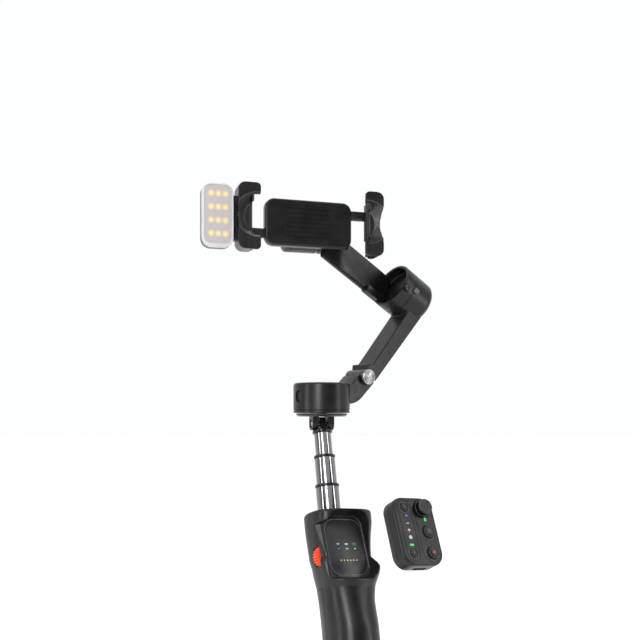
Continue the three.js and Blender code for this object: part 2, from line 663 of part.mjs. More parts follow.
// Two lugs stand on the front: a stop on the cup's rim, and a lock that reaches over the seam.
function makeRollLugs() {
  const lug = (s0, s1, z) => cut(
    box(s0, s1, -ROLL_RADIUS - LUG_HEIGHT, -ROLL_RADIUS + 1.5, z - 1.7, z + 1.7),
    discX(ROLL_RADIUS + GAP, ROLL_MOUTH - 5, ROLL_END, 0, 0, 40),
  );
  addPart(roll, 'roll_stop_lug', 'trim', lug(ROLL_MOUTH + 0.3, ROLL_MOUTH + 3.6, -3.4));
  addPart(roll, 'roll_lock_lug', 'trim', lug(ROLL_SEAM - 1.4, ROLL_SEAM + 2.8, -0.6));
}

makeRollArm();
makeRollMotor();
makeTiltArm();
makeRollLugs();

// ---------------------------------------------------------------- tilt motor and clamp

const clamp = new THREE.Group();
clamp.position.set(0, 0, CLAMP_Z);
head.add(clamp);

function makeTiltMotor() {
  const motor = new THREE.Group();
  motor.position.set(0, TILT_Y, TILT_Z);
  head.add(motor);
  const stator = discX(8.6, TILT_SEAM + 1.5, TILT_SEAM + 11, 0, 0, 24);
  addPart(motor, 'tilt_stator', 'copper', cut(stator, discX(3, 0, 40, 0, 0, 20)));
  const ring = cut(discX(10.6, TILT_SEAM + 1.5, TILT_SEAM + 11), discX(9.2, 0, 40));
  addPart(motor, 'tilt_magnet_ring', 'steel', ring);
}

function makeTiltBracket() {
  const rotor = discX(TILT_RADIUS, -11, TILT_SEAM - GAP, TILT_Y, TILT_Z);
  const shaft = discX(2.6, TILT_SEAM - 2, TILT_SEAM + 11, TILT_Y, TILT_Z, 20);
  const hub = discY(HUB_RADIUS, HUB_REAR, TILT_Y, 0, CLAMP_Z);
  const spigot = discY(4, BACK_REAR - 4, HUB_REAR + 1, 0, CLAMP_Z, 24);
  addPart(head, 'tilt_bracket', 'shell', join(rotor, shaft, hub, spigot));
}

function railRoom(side) {
  const x = side > 0 ? [8, 60] : [-60, -8];
  return box(...x, RAIL_FRONT - 0.3, RAIL_REAR + 0.3, railZ(side) - 3.3, railZ(side) + 3.3);
}

function railZ(side) {
  return 7.5 * side;
}

function makeClampBack() {
  const plate = slabY(58, 30, 6, BACK_FRONT, BACK_REAR);
  const rear = discY(HUB_RADIUS, BACK_REAR - 1, HUB_REAR - GAP);
  const bore = discY(4.15, BACK_REAR - 4.3, 30, 0, 0, 24);
  const springRoom = discX(2, -30, 30, SPRING_Y, SPRING_Z, 12);
  const rooms = [bore, railRoom(1), railRoom(-1), springRoom];
  addPart(clamp, 'clamp_back', 'shell', cut(join(plate, rear), ...rooms));
  addPart(clamp, 'clamp_spring', 'steel', discX(1.6, -24, 24, SPRING_Y, SPRING_Z, 12));
}

function jawOutline() {
  const inner = PHONE_WIDTH / 2 + 1.2;
  const outline = new THREE.Shape();
  outline.moveTo(inner, -JAW_HALF_HEIGHT);
  outline.lineTo(JAW_OUTER - 5, -JAW_HALF_HEIGHT);
  outline.quadraticCurveTo(JAW_OUTER, -JAW_HALF_HEIGHT, JAW_OUTER, -JAW_HALF_HEIGHT + 6);
  outline.quadraticCurveTo(JAW_OUTER - 1.6, 0, JAW_OUTER, JAW_HALF_HEIGHT - 6);
  outline.quadraticCurveTo(JAW_OUTER, JAW_HALF_HEIGHT, JAW_OUTER - 5, JAW_HALF_HEIGHT);
  outline.lineTo(inner, JAW_HALF_HEIGHT);
  outline.closePath();
  return outline;
}

// A jaw: a thick side wall, two short horns over the phone's face, and a rail that slides in the back.
function makeJaw(side, name, padName) {
  const wall = extrudeY(jawOutline(), -2.6, JAW_BACK);
  const horns = [-1, 1].map((end) => {
    const z = end * (JAW_HALF_HEIGHT - 7.5);
    return slabY(11, 11, 3.5, -2.6, -GAP, PHONE_WIDTH / 2 + 1.8, z);
  });
  const thumbCut = discY(THUMB_RADIUS, -10, 5.5, THUMB_X, 0, 28);
  const z = railZ(side);
  const rail = box(RAIL_REACH, RAIL_ROOT, RAIL_FRONT, RAIL_REAR, z - 3, z + 3);
  const root = slabY(9, 24, 3, BACK_FRONT - 1, BACK_REAR, RAIL_ROOT - 0.5, z / 2);
  const padSeat = box(0, PHONE_WIDTH / 2 + 1.5, PHONE_DEPTH - 9, BACK_REAR + 1, -40, 40);
  const jaw = join(cut(join(wall, root), padSeat, thumbCut), cut(join(...horns), thumbCut), rail);
  addPart(clamp, name, 'shell', side > 0 ? jaw : mirrorX(jaw));
  const pad = cut(
    box(PHONE_WIDTH / 2, PHONE_WIDTH / 2 + 1.2, 0.2, BACK_FRONT, -JAW_HALF_HEIGHT + 1, JAW_HALF_HEIGHT - 1),
    discY(THUMB_RADIUS + 0.4, -10, 5.9, THUMB_X, 0, 28),
  );
  addPart(clamp, padName, 'rubber', side > 0 ? pad : mirrorX(pad));
}

// Mirroring turns the faces inside out, so each triangle's order is swapped back.
function mirrorX(geometry) {
  const flipped = geometry.clone().scale(-1, 1, 1);
  const indexed = flipped.index ? flipped : mergeVertices(flipped);
  const index = indexed.index.array;
  for (let i = 0; i < index.length; i += 3) {
    [index[i + 1], index[i + 2]] = [index[i + 2], index[i + 1]];
  }
  return indexed;
}

makeTiltMotor();
makeTiltBracket();
makeClampBack();
makeJaw(1, 'right_jaw', 'right_jaw_pad');
makeJaw(-1, 'left_jaw', 'left_jaw_pad');

// ---------------------------------------------------------------- fill light

const light = new THREE.Group();
light.position.set(-LIGHT_INNER - LIGHT_WIDTH / 2, 0, CLAMP_Z - 1.2);
head.add(light);

function makeLight() {
  const front = -3.2;
  const rear = front + LIGHT_DEPTH;
  const shell = cut(
    slabY(LIGHT_WIDTH, LIGHT_HEIGHT, 6, front + 3.4, rear),
    slabY(LIGHT_WIDTH - 3, LIGHT_HEIGHT - 3, 5, front - 1, rear - 1.4),
  );
  addPart(light, 'light_back_shell', 'shell', shell);
  const cover = cut(
    slabY(LIGHT_WIDTH, LIGHT_HEIGHT, 6, front, front + 3.4 - GAP),
    slabY(LIGHT_WIDTH - 3.4, LIGHT_HEIGHT - 3.4, 5, front + 1.2, rear),
  );
  addPart(light, 'light_diffuser', 'frost', cover);
  addPart(light, 'light_board', 'board', slabY(LIGHT_WIDTH - 4, LIGHT_HEIGHT - 4, 4, front + 2, front + 3));
  const cell = slabY(LIGHT_WIDTH - 5, LIGHT_HEIGHT - 12, 2, front + 3.8, rear - 1.9);
  addPart(light, 'light_cell', 'cell', cell);
}

// The light clips on a foot that stays on the left jaw.
function makeLightFoot() {
  const foot = box(-LIGHT_INNER + GAP, -JAW_OUTER - GAP, 0.6, 6.4, -15.5, 12.5);
  addPart(clamp, 'light_foot', 'trim', foot);
}

makeLight();
makeLightFoot();

export default gimbal;
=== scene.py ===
"""Looks for the camera gimbal: detailed shells, motors, clamp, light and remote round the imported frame.

Shapes are built in millimetres in the frame of the piece they belong to, and then placed in metres.
"""

import json
import math

import bmesh
import bpy
from mathutils import Matrix, Vector


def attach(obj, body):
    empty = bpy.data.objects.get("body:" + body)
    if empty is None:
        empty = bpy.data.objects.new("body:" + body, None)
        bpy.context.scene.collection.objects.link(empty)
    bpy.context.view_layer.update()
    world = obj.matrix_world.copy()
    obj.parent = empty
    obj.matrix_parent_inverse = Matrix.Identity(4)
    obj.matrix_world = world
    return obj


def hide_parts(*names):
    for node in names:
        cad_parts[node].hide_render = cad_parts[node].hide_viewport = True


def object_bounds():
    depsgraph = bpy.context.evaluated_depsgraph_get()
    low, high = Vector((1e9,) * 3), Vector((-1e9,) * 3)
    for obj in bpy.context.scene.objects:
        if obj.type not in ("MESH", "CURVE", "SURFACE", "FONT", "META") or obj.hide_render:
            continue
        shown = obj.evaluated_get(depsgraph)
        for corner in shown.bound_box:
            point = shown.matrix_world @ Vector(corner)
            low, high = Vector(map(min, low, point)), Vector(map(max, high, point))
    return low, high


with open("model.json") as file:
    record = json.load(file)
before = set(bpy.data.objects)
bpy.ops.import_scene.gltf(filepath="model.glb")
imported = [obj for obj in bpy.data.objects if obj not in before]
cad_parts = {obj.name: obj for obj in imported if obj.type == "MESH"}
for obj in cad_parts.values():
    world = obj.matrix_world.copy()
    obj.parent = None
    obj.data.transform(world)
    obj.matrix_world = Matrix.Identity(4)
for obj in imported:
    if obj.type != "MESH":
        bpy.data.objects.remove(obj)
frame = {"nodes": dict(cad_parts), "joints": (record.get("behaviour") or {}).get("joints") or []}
CAD_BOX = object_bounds()

MM = 0.001
JOINTS = {joint["name"]: joint for joint in frame["joints"]}

# Driving sizes in millimetres. They are the CAD's, apart from the foot of the bay: the ledge beside it is
# drawn a little further forward here, the ramp is shallower, and the way in follows the remote's path.
ROD_X, ROD_Y = -1.2, 9
GRIP_HALF_WIDTH, GRIP_FRONT, GRIP_BACK = 16, -19.8, 16.4
BODY_HALF_WIDTH, BODY_BACK = 18.8, 18.6
HANDLE_BOTTOM, HANDLE_TOP, SEAM_TOP, CELL_Y = -55, 90.8, 44, -2.4
PANEL_LEAN = math.radians(10)
BAY_FLOOR_Y, BAY_CENTRE_Z = -4.3, 68.6
BAY_WIDTH, BAY_HEIGHT, BAY_CORNER = 28.8, 40.2, 7.5
LOW_SIDE, LOW_TOP, FACET_TURN = 1.3, 14, math.radians(40)
RAMP_SLOPE = math.radians(21)
DOCK_DROP = 0.262  # how far the remote sinks for each millimetre that it moves in
DIAL_X, DIAL_Y, DIAL_Z, DIAL_RADIUS, DIAL_HALF = -12.6, 0.1, 62.8, 7.6, 2.4
REMOTE_WIDTH, REMOTE_HEIGHT, REMOTE_DEPTH, REMOTE_CORNER = 27.6, 39, 10.4, 7.5
STICK_X, STICK_Z = 6, 12.9
FACE = -REMOTE_DEPTH
SMALL_BUTTONS = {"previous": (-6.1, 13.6), "next": (-6.1, -12.6)}
ROUND_BUTTONS = {"mode": (6.8, -0.5), "record": (6.8, -12.5)}
SMALL_WELL, ROUND_WELL, STICK_WELL = 2.9, 4.1, 5.6
MARK_X, MARK_Z = (-5.6, 0.3, 6.3), 1.2
TRIGGER_Z, POWER_Y, POWER_Z = 23, 2, 66
PIN_X, PIN_PITCH, PIN_Z = -5.4, 2.28, -9.05
TUBE_LENGTH, TUBE_WALL, INNER_BORE = 50, 0.55, 3.4
TUBES = {"outer": (7.35, 109.6), "middle": (6.5, 128.6), "inner": (5.45, 143.5)}
NECK_HEIGHT, NECK_DROP, KNUCKLE_RADIUS, NECK_HOLE = 150, 132.5, 4.3, 1.7
PAN_OFFSET, PAN_RADIUS, PAN_TOP, PAN_BOTTOM = 7.9, 18.25, -106.3, -125.6
PAN_BASE_LOW, PAN_WINDOW_Z, ARM_LOW = -127.9, -115, -119.7
FOLD_X, FOLD_Z, FOLD_RADIUS, FOLD_FRONT, FOLD_REAR = 37.2, -101.9, 5.2, -12, 7
ARM_FRONT, ARM_REAR, ARM_PLANE_Y = -10, 7, 4
ROLL_RADIUS, ROLL_MOUTH, ROLL_SEAM, ROLL_END = 16, 75.5, 85, 104.5
TILT_Y, TILT_Z, TILT_RADIUS, TILT_SEAM = 33, -4, 13.5, 12.4
CLAMP_Z, PHONE_WIDTH = -3, 76.7
PHONE_SIDE = PHONE_WIDTH / 2
JAW_HALF_HEIGHT, JAW_OUTER, JAW_BACK = 20.8, 47.2, 9.6
BACK_FRONT, BACK_REAR, HUB_REAR, HUB_RADIUS = 9.45, 16.4, 18.6, 11.5
RAIL_FRONT, RAIL_REAR, RAIL_REACH, RAIL_HEIGHT = 11.6, 14.4, 18, 7.5
RAIL_ROOT = PHONE_SIDE + 3.5
SPRING_Y, SPRING_Z = 13, 12.6
LIGHT_INNER, LIGHT_WIDTH, LIGHT_HEIGHT, LIGHT_DEPTH, LIGHT_FRONT = 52.1, 19.6, 39.4, 9, -3.2
LAMP_COLUMNS, LAMP_ROWS = (-4.2, 0.2, 4.6), (13.1, 4.9, -3.3, -11.5)
GAP = 0.3
HANDLE_TWIST, ARM_YAW = math.radians(15), math.radians(18.8)
PLATE_FRONT, PLATE_BACK, PLATE_HALF, PLATE_END = 10.6, 15.6, 9.8, 24


# ---- frames

def axis(joint):
    return Vector(JOINTS[joint]["axis"]).normalized()


def place(joint):
    return Vector(JOINTS[joint]["pos_m"])


def local_frame(origin, x, y):
    """A frame in millimetres at origin (metres), from its x and y directions."""
    basis = Matrix((x, y, x.cross(y))).transposed().to_4x4()
    return Matrix.Translation(origin) @ basis @ Matrix.Scale(MM, 4)


def shifted(base, x=0, y=0, z=0):
    return base @ Matrix.Translation((x, y, z))


dial_axis = axis("zoom_dial_spin")
handle_x = dial_axis.cross(axis("rod_outer_slide"))
arm_y = -axis("arm_fold")
remote_y = axis("record_press")
stick_offset = handle_x * STICK_X + handle_x.cross(remote_y) * STICK_Z + remote_y * (3.2 - REMOTE_DEPTH)

HANDLE = local_frame(Vector(), handle_x, dial_axis)
ROD = shifted(HANDLE, x=ROD_X, y=ROD_Y)
PANEL = shifted(HANDLE, y=BAY_FLOOR_Y, z=BAY_CENTRE_Z) @ Matrix.Rotation(-PANEL_LEAN, 4, "X")
REMOTE = local_frame(place("joystick_tilt") - stick_offset * MM, handle_x, remote_y)
CLAMP = local_frame(place("clamp_turn"), Vector((1, 0, 0)), Vector((0, 1, 0)))
HEAD = shifted(CLAMP, z=-CLAMP_Z)
ARMS = local_frame(HEAD @ Vector((0, ARM_PLANE_Y, 0)), arm_y.cross(Vector((0, 0, 1))), arm_y)
PAN = shifted(ARMS, x=PAN_OFFSET)
ROLL = local_frame(place("roll_turn") - axis("roll_turn") * ROLL_SEAM * MM, axis("roll_turn"), arm_y)
LIGHT = shifted(HEAD, x=-LIGHT_INNER - LIGHT_WIDTH / 2, z=CLAMP_Z - 1.2)
HEAD_IN_ROLL = ROLL.inverted() @ HEAD
ROLL_IN_ARMS = ARMS.inverted() @ ROLL


# ---- mesh tools

def new_object(name, bm):
    mesh = bpy.data.meshes.new(name)
    bmesh.ops.recalc_face_normals(bm, faces=bm.faces)
    bm.to_mesh(mesh)
    bm.free()
    piece = bpy.data.objects.new(name, mesh)
    bpy.context.scene.collection.objects.link(piece)
    return piece


def bake(piece):
    """Makes the piece's modifiers part of its mesh."""
    graph = bpy.context.evaluated_depsgraph_get()
    mesh = bpy.data.meshes.new_from_object(piece.evaluated_get(graph))
    old = piece.data
    piece.modifiers.clear()
    piece.data = mesh
    bpy.data.meshes.remove(old)
    return piece


def combine(first, others, operation):
    for other in others:
        step = first.modifiers.new("combine", "BOOLEAN")
        step.operation = operation
        step.solver = "MANIFOLD"
        step.object = other
        bake(first)
        bpy.data.objects.remove(other)
    return first


def union(first, *others):
    return combine(first, others, "UNION")


def cut(first, *others):
    return combine(first, others, "DIFFERENCE")


def common(first, *others):
    return combine(first, others, "INTERSECT")


def together(first, *others):
    """Puts loose pieces into one object without a boolean."""
    bm = bmesh.new()
    for piece in (first, *others):
        bm.from_mesh(piece.data)
    bm.to_mesh(first.data)
    bm.free()
    for other in others:
        bpy.data.objects.remove(other)
    return first


def moved(piece, x=0, y=0, z=0):
    piece.data.transform(Matrix.Translation((x, y, z)))
    return piece


def turned(piece, angle, about):
    piece.data.transform(Matrix.Rotation(angle, 4, about))
    return piece


def in_frame(piece, matrix):
    piece.data.transform(matrix)
    return piece


def copy_of(piece):
    twin = bpy.data.objects.new(piece.name + "_copy", piece.data.copy())
    bpy.context.scene.collection.objects.link(twin)
    return twin


def mirrored(piece):
    piece.data.transform(Matrix.Scale(-1, 4, (1, 0, 0)))
    piece.data.flip_normals()
    return piece


def rounded_edges(piece, width, segments=3, angle=35):
    step = piece.modifiers.new("edges", "BEVEL")
    step.width = width
    step.segments = segments
    step.limit_method = "ANGLE"
    step.angle_limit = math.radians(angle)
    step.miter_outer = "MITER_ARC"
    return bake(piece)


def melted(piece, voxel, passes=3, keep=0.4):
    """One skin over the whole shape, with every edge softened by a few voxels."""
    step = piece.modifiers.new("skin", "REMESH")
    step.mode = "VOXEL"
    step.voxel_size = voxel
    soften = piece.modifiers.new("soften", "SMOOTH")
    soften.factor = 0.5
    soften.iterations = passes
    if keep < 1:
        thin = piece.modifiers.new("thin", "DECIMATE")
        thin.ratio = keep
    return bake(piece)


def shaded(piece, angle=32):
    piece.data.shade_smooth()
    piece.data.set_sharp_from_angle(angle=math.radians(angle))
    return piece


def finished(piece, base, body, material, replaces=(), angle=32):
    """Places a finished shape in metres and ties it to its body."""
    piece.data.transform(base)
    shaded(piece, angle)
    piece.data.materials.clear()
    piece.data.materials.append(material)
    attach(piece, body)
    if replaces:
        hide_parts(*replaces)
    return piece


# ---- basic shapes

def skinned(name, rings, closed=False):
    """A skin through rings of points, any of which may be one point; open ends are capped."""
    bm = bmesh.new()
    loops = [[bm.verts.new(point) for point in ring_points] for ring_points in rings]
    following = loops[1:] + ([loops[0]] if closed else [])
    for low, high in zip(loops, following):
        count = max(len(low), len(high))
        for i in range(count):
            j = (i + 1) % count
            corners = (low[i % len(low)], low[j % len(low)], high[j % len(high)], high[i % len(high)])
            corners = list(dict.fromkeys(corners))
            if len(corners) > 2:
                bm.faces.new(corners)
    for end in (loops[0], loops[-1]):
        if len(end) > 2 and not closed:
            bm.faces.new(end)
    return new_object(name, bm)


def around(count):
    """Directions (cosine, sine) at even steps round a circle."""
    angles = [2 * math.pi * i / count for i in range(count)]
    return [(math.cos(a), math.sin(a)) for a in angles]


def block(name, x0, x1, y0, y1, z0, z1):
    bm = bmesh.new()
    bmesh.ops.create_cube(bm, size=1)
    size = Matrix.Diagonal((x1 - x0, y1 - y0, z1 - z0, 1))
    bm.transform(Matrix.Translation(((x0 + x1) / 2, (y0 + y1) / 2, (z0 + z1) / 2)) @ size)
    return new_object(name, bm)


def lathe(name, profile, segments=96, about="Z"):
    """Turns a profile of (radius, height) points about an axis; a radius of 0 closes on the axis."""
    rings = []
    for radius, height in profile:
        points = [(radius * c, radius * s, height) for c, s in around(segments)]
        rings.append(points if radius else points[:1])
    piece = skinned(name, rings, closed=profile[0][0] > 0 and profile[-1][0] > 0)
    if about == "X":
        turned(piece, math.pi / 2, "Y")
    if about == "Y":
        turned(piece, -math.pi / 2, "X")
    return piece


def arc_points(x, y, radius, start, end, steps=5):
    angles = [math.radians(start + (end - start) * i / steps) for i in range(steps + 1)]
    return [(x + radius * math.cos(a), y + radius * math.sin(a)) for a in angles]


def side_profile(radius, low, high, edge):
    """The outer side of a cylinder, with rounded rims."""
    if not edge:
        return [(radius, low), (radius, high)]
    inner = radius - edge
    return arc_points(inner, low + edge, edge, -90, 0) + arc_points(inner, high - edge, edge, 0, 90)


def disc(name, radius, low, high, about="Z", edge=0.0, segments=96):
    return lathe(name, [(0, low), *side_profile(radius, low, high, edge), (0, high)], segments, about)


def ring(name, outer, inner, low, high, about="Z", edge=0.0, segments=96):
    return lathe(name, [(inner, low), *side_profile(outer, low, high, edge), (inner, high)], segments, about)


def rounded_outline(width, height, radius, steps=8):
    x = width / 2 - radius
    y = height / 2 - radius
    corners = ((x, y, 0), (-x, y, 90), (-x, -y, 180), (x, -y, 270))
    return [p for cx, cy, start in corners for p in arc_points(cx, cy, radius, start, start + 90, steps)]


def soft_polygon(corners, steps=6):
    """A polygon whose corners (x, z, radius) are rounded."""
    points = []
    for i, (x, z, radius) in enumerate(corners):
        if radius <= 0:
            points.append((x, z))
            continue
        here = Vector((x, z))
        before = Vector(corners[i - 1][:2]) - here
        after = Vector(corners[(i + 1) % len(corners)][:2]) - here
        half = before.angle(after) / 2
        back = min(radius / math.tan(half), before.length * 0.49, after.length * 0.49)
        start = here + before.normalized() * back
        end = here + after.normalized() * back
        for t in (k / steps for k in range(steps + 1)):
            points.append(tuple(start * (1 - t) ** 2 + here * 2 * t * (1 - t) + end * t ** 2))
    return points


def extrude(name, outline, y0, y1):
    """An outline in the x-z plane, given depth along y."""
    return skinned(name, [[(x, y, z) for x, z in outline] for y in (y0, y1)])


def slab(name, width, height, radius, y0, y1, x=0, z=0, steps=8):
    return moved(extrude(name, rounded_outline(width, height, radius, steps), y0, y1), x, 0, z)


def pillow(name, width, height, radius, y0, y1, edge, x=0, z=0):
    """A slab whose front and back rims are rounded, made of stacked outlines."""
    levels = arc_points(0, y0 + edge, edge, -90, 0) + arc_points(0, y1 - edge, edge, 0, 90)
    rings = []
    for inset, y in levels:
        shrink = edge - inset
        outline = rounded_outline(width - 2 * shrink, height - 2 * shrink, max(radius - shrink, 0.05))
        rings.append([(px + x, y, pz + z) for px, pz in outline])
    return skinned(name, rings)


def loft(name, sections, sides):
    """A skin over level sections of (height, middle, half width, front, back, squareness)."""
    rings = []
    for z, middle, half_width, front, back, squareness in sections:
        points = []
        for c, s in around(sides):
            x = middle + half_width * math.copysign(abs(c) ** (2 / squareness), c)
            y = (front + back) / 2 + (back - front) / 2 * math.copysign(abs(s) ** (2 / squareness), s)
            points.append((x, y, z))
        rings.append(points)
    return skinned(name, rings)


def ellipse_stack(name, rings, sides=96):
    """A body through ellipses (y, x, z, x radius, z radius)."""
    circle = around(sides)
    return skinned(name, [[(x + rx * c, y, z + rz * s) for c, s in circle] for y, x, z, rx, rz in rings])


# ---- materials

def new_material(name):
    material = bpy.data.materials.new(name)
    material.use_nodes = True
    tree = material.node_tree
    return material, tree, tree.nodes["Principled BSDF"]


def wire(tree, made, inputs):
    """Sets a node's inputs, by name or place, to other nodes' outputs or to fixed values."""
    for key, value in inputs.items():
        if isinstance(value, bpy.types.NodeSocket):
            tree.links.new(value, made.inputs[key])
        else:
            made.inputs[key].default_value = value


def node(tree, kind, inputs, output=0, **settings):
    """Adds a shader node and gives one of its outputs."""
    made = tree.nodes.new("ShaderNode" + kind)
    for key, value in settings.items():
        setattr(made, key, value)
    wire(tree, made, inputs)
    return made.outputs[output]


def math_node(tree, operation, *values):
    return node(tree, "Math", dict(enumerate(values)), operation=operation)


def surface(tree):
    return node(tree, "TexCoord", {}, "Object")


def noise(tree, scale, detail=3.0, roughness=0.55, coordinates=None):
    settings = {"Scale": scale, "Detail": detail, "Roughness": roughness}
    return node(tree, "TexNoise", {**settings, "Vector": coordinates or surface(tree)}, "Fac")


def spread(tree, value, low, high):
    """Maps a noise value, which stays near 0.5, on to low..high."""
    inputs = {"Value": value, "From Min": 0.3, "From Max": 0.7, "To Min": low, "To Max": high}
    return node(tree, "MapRange", inputs, "Result")


def tint(tree, value, first, second):
    inputs = {"Factor": value, "A": (*first, 1), "B": (*second, 1)}
    return node(tree, "Mix", inputs, "Result", data_type="RGBA")


def mottled(tree, scale, detail, first, second):
    """Two colours blended by noise."""
    return tint(tree, spread(tree, noise(tree, scale, detail), 0, 1), first, second)


def bump(tree, height, distance, strength=1.0):
    return node(tree, "Bump", {"Strength": strength, "Distance": distance, "Height": height})


def moulded(name, color, roughness, grain=2600, depth=0.00003, wear=0.06, specular=0.32):
    """Moulded plastic: fine spark-eroded grain, slow changes of sheen, a trace of dust and handling."""
    material, tree, shader = new_material(name)
    lighter = tuple(min(c * 1.35 + 0.002, 1) for c in color)
    wire(tree, shader, {
        "Base Color": mottled(tree, 55, 4, color, lighter),
        "Roughness": spread(tree, noise(tree, 130, 5), roughness - wear, roughness + wear),
        "Normal": bump(tree, noise(tree, grain, 2, 0.6), depth, 0.6),
        "Specular IOR Level": specular,
    })
    return material


def soft_rubber(name, color, roughness):
    material, tree, shader = new_material(name)
    lighter = tuple(c * 1.6 + 0.003 for c in color)
    wire(tree, shader, {
        "Base Color": mottled(tree, 90, 4, color, lighter),
        "Roughness": spread(tree, noise(tree, 400, 4), roughness - 0.06, roughness + 0.05),
        "Normal": bump(tree, noise(tree, 4200, 2), 0.00004, 0.7),
    })
    return material


def drawn_metal(name, color, roughness, direction, streak=0.06, relief=0.3):
    """Metal with fine drawing or turning marks, stretched along one direction (x, y, z scales)."""
    material, tree, shader = new_material(name)
    stretched = node(tree, "Mapping", {"Scale": direction, "Vector": surface(tree)})
    marks = noise(tree, 1, 4, 0.6, stretched)
    darker = tuple(c * 0.78 for c in color)
    wire(tree, shader, {
        "Metallic": 1.0,
        "Base Color": tint(tree, spread(tree, marks, 0, 1), darker, color),
        "Roughness": spread(tree, marks, roughness - streak, roughness + streak),
    })
    if relief:
        wire(tree, shader, {"Normal": bump(tree, marks, 0.000002, relief)})
    return material


def spun_metal(name, color, roughness, centre):
    """A face turned on a lathe: rings of fine marks, and sectors of lighter and darker colour round the centre,
    a painted reflection.
    """
    material, tree, shader = new_material(name)
    coordinates = surface(tree)
    inverse = centre.inverted()

    def component(row):
        ends = {0: coordinates, 1: tuple(row[:3])}
        return math_node(tree, "ADD", node(tree, "VectorMath", ends, "Value", operation="DOT_PRODUCT"), row[3])

    x, z = component(inverse[0]), component(inverse[2])
    flat = node(tree, "CombineXYZ", {"X": x, "Y": z})
    length = node(tree, "VectorMath", {0: flat}, "Value", operation="LENGTH")
    rings = noise(tree, 9, 5, 0.7, node(tree, "CombineXYZ", {"X": length}))
    # Painted reflection: four lighter and four darker sectors of colour round the centre.
    sectors = math_node(tree, "MULTIPLY", math_node(tree, "ARCTAN2", x, z), 4)
    wave = math_node(tree, "SINE", sectors)
    painted_sheen = node(tree, "MapRange", {"From Min": -1, "Value": wave}, "Result")
    darker = tuple(c * 0.6 for c in color)
    wire(tree, shader, {
        "Metallic": 1.0,
        "Anisotropic": 0.75,
        "Base Color": tint(tree, painted_sheen, darker, color),
        "Roughness": spread(tree, rings, roughness - 0.08, roughness + 0.08),
        "Normal": bump(tree, rings, 0.00001, 0.5),
    })
    return material


def frosted(name, color):
    """White diffusing plastic with a pebbled back."""
    material, tree, shader = new_material(name)
    pebbles = node(tree, "TexVoronoi", {"Scale": 900, "Vector": surface(tree)}, "Distance")
    wire(tree, shader, {
        "Base Color": tint(tree, pebbles, color, tuple(c * 0.93 for c in color)),
        "Roughness": spread(tree, noise(tree, 300), 0.28, 0.42),
        "Normal": bump(tree, pebbles, 0.00005, 0.4),
        "Subsurface Weight": 0.4,
        "Subsurface Radius": (0.002, 0.002, 0.002),
    })
    return material


def lamp_face(name, base, columns, rows):
    """The light's window: soft warm spots over a cool frosted ground, one spot over each chip."""
    material, tree, shader = new_material(name)
    ground = (0.31, 0.285, 0.285)
    warm = (0.62, 0.47, 0.19)
    placed = {"Location": base.to_translation(), "Scale": (MM, MM, MM), "Vector": surface(tree)}
    coordinates = node(tree, "Mapping", placed, vector_type="TEXTURE")
    glow = None
    for x in columns:
        for z in rows:
            ends = {0: coordinates, 1: (x, LIGHT_FRONT, z)}
            away = node(tree, "VectorMath", ends, "Value", operation="DISTANCE")
            fading = {"Value": away, "From Min": 0, "From Max": 2.8, "To Min": 1, "To Max": 0}
            fade = node(tree, "MapRange", fading, "Result", interpolation_type="SMOOTHSTEP")
            glow = fade if glow is None else math_node(tree, "MAXIMUM", glow, fade)
    color = tint(tree, glow, ground, warm)
    wire(tree, shader, {
        "Base Color": color,
        "Emission Color": color,
        "Emission Strength": 0.1,
        "Roughness": spread(tree, noise(tree, 600), 0.25, 0.4),
        "Normal": bump(tree, noise(tree, 1500, 2), 0.00004, 0.5),
    })
    return material


def printed(name, color, glow=0.0):
    """Ink or a lit window: a slightly uneven colour with a glow; on a status window the glow is its lamp, on ink
    it is a painted glow.
    """
    material, tree, shader = new_material(name)
    wire(tree, shader, {
        "Base Color": mottled(tree, 2500, 3, tuple(c * 0.85 for c in color), color),
        "Roughness": spread(tree, noise(tree, 800), 0.4, 0.55),
        "Emission Color": (*color, 1),
        "Emission Strength": glow,
    })
    return material


SATIN = moulded("satin_black", (0.0035, 0.0035, 0.0038), 0.32, specular=0.28)
GRIP = moulded("grip_black", (0.004, 0.004, 0.0044), 0.33, grain=1800, depth=0.00004, specular=0.3)
DARK = moulded("deep_black", (0.0028, 0.0028, 0.003), 0.28, specular=0.34)
PANEL_BLACK = moulded("panel_black", (0.011, 0.011, 0.0125), 0.3, grain=3800, depth=0.00002)
# Grey for thin lines that are painted highlights along the bay floor's edge and round the key wells.
PAINTED_HIGHLIGHT = moulded("painted_highlight_line", (0.07, 0.07, 0.074), 0.2, depth=0.000005, wear=0.04)
RUBBER = soft_rubber("black_rubber", (0.009, 0.009, 0.01), 0.62)
ORANGE = moulded("orange_wheel", (0.52, 0.04, 0.01), 0.4, grain=2200)
CHROME = drawn_metal("polished_tube", (0.29, 0.29, 0.3), 0.1, (2500, 2500, 60), 0.015, 0)
STEEL = drawn_metal("brushed_steel", (0.50, 0.50, 0.51), 0.3, (400, 3000, 3000))
# The turned face's colour carries painted reflection sectors.
HINGE_FACE = spun_metal("turned_face", (0.34, 0.34, 0.35), 0.3, shifted(ARMS, x=FOLD_X, z=FOLD_Z))
GOLD = drawn_metal("gold_pins", (0.62, 0.42, 0.14), 0.35, (2000, 2000, 2000))
COPPER = drawn_metal("copper_wire", (0.72, 0.33, 0.16), 0.3, (300, 300, 6000))
BOARD = moulded("circuit_board", (0.01, 0.07, 0.03), 0.4, grain=900)
CELL = moulded("cell_sleeve", (0.02, 0.08, 0.25), 0.3)
FROST = frosted("frosted_frame", (0.44, 0.435, 0.43))
LAMP = lamp_face("lamp_window", LIGHT, LAMP_COLUMNS, LAMP_ROWS)
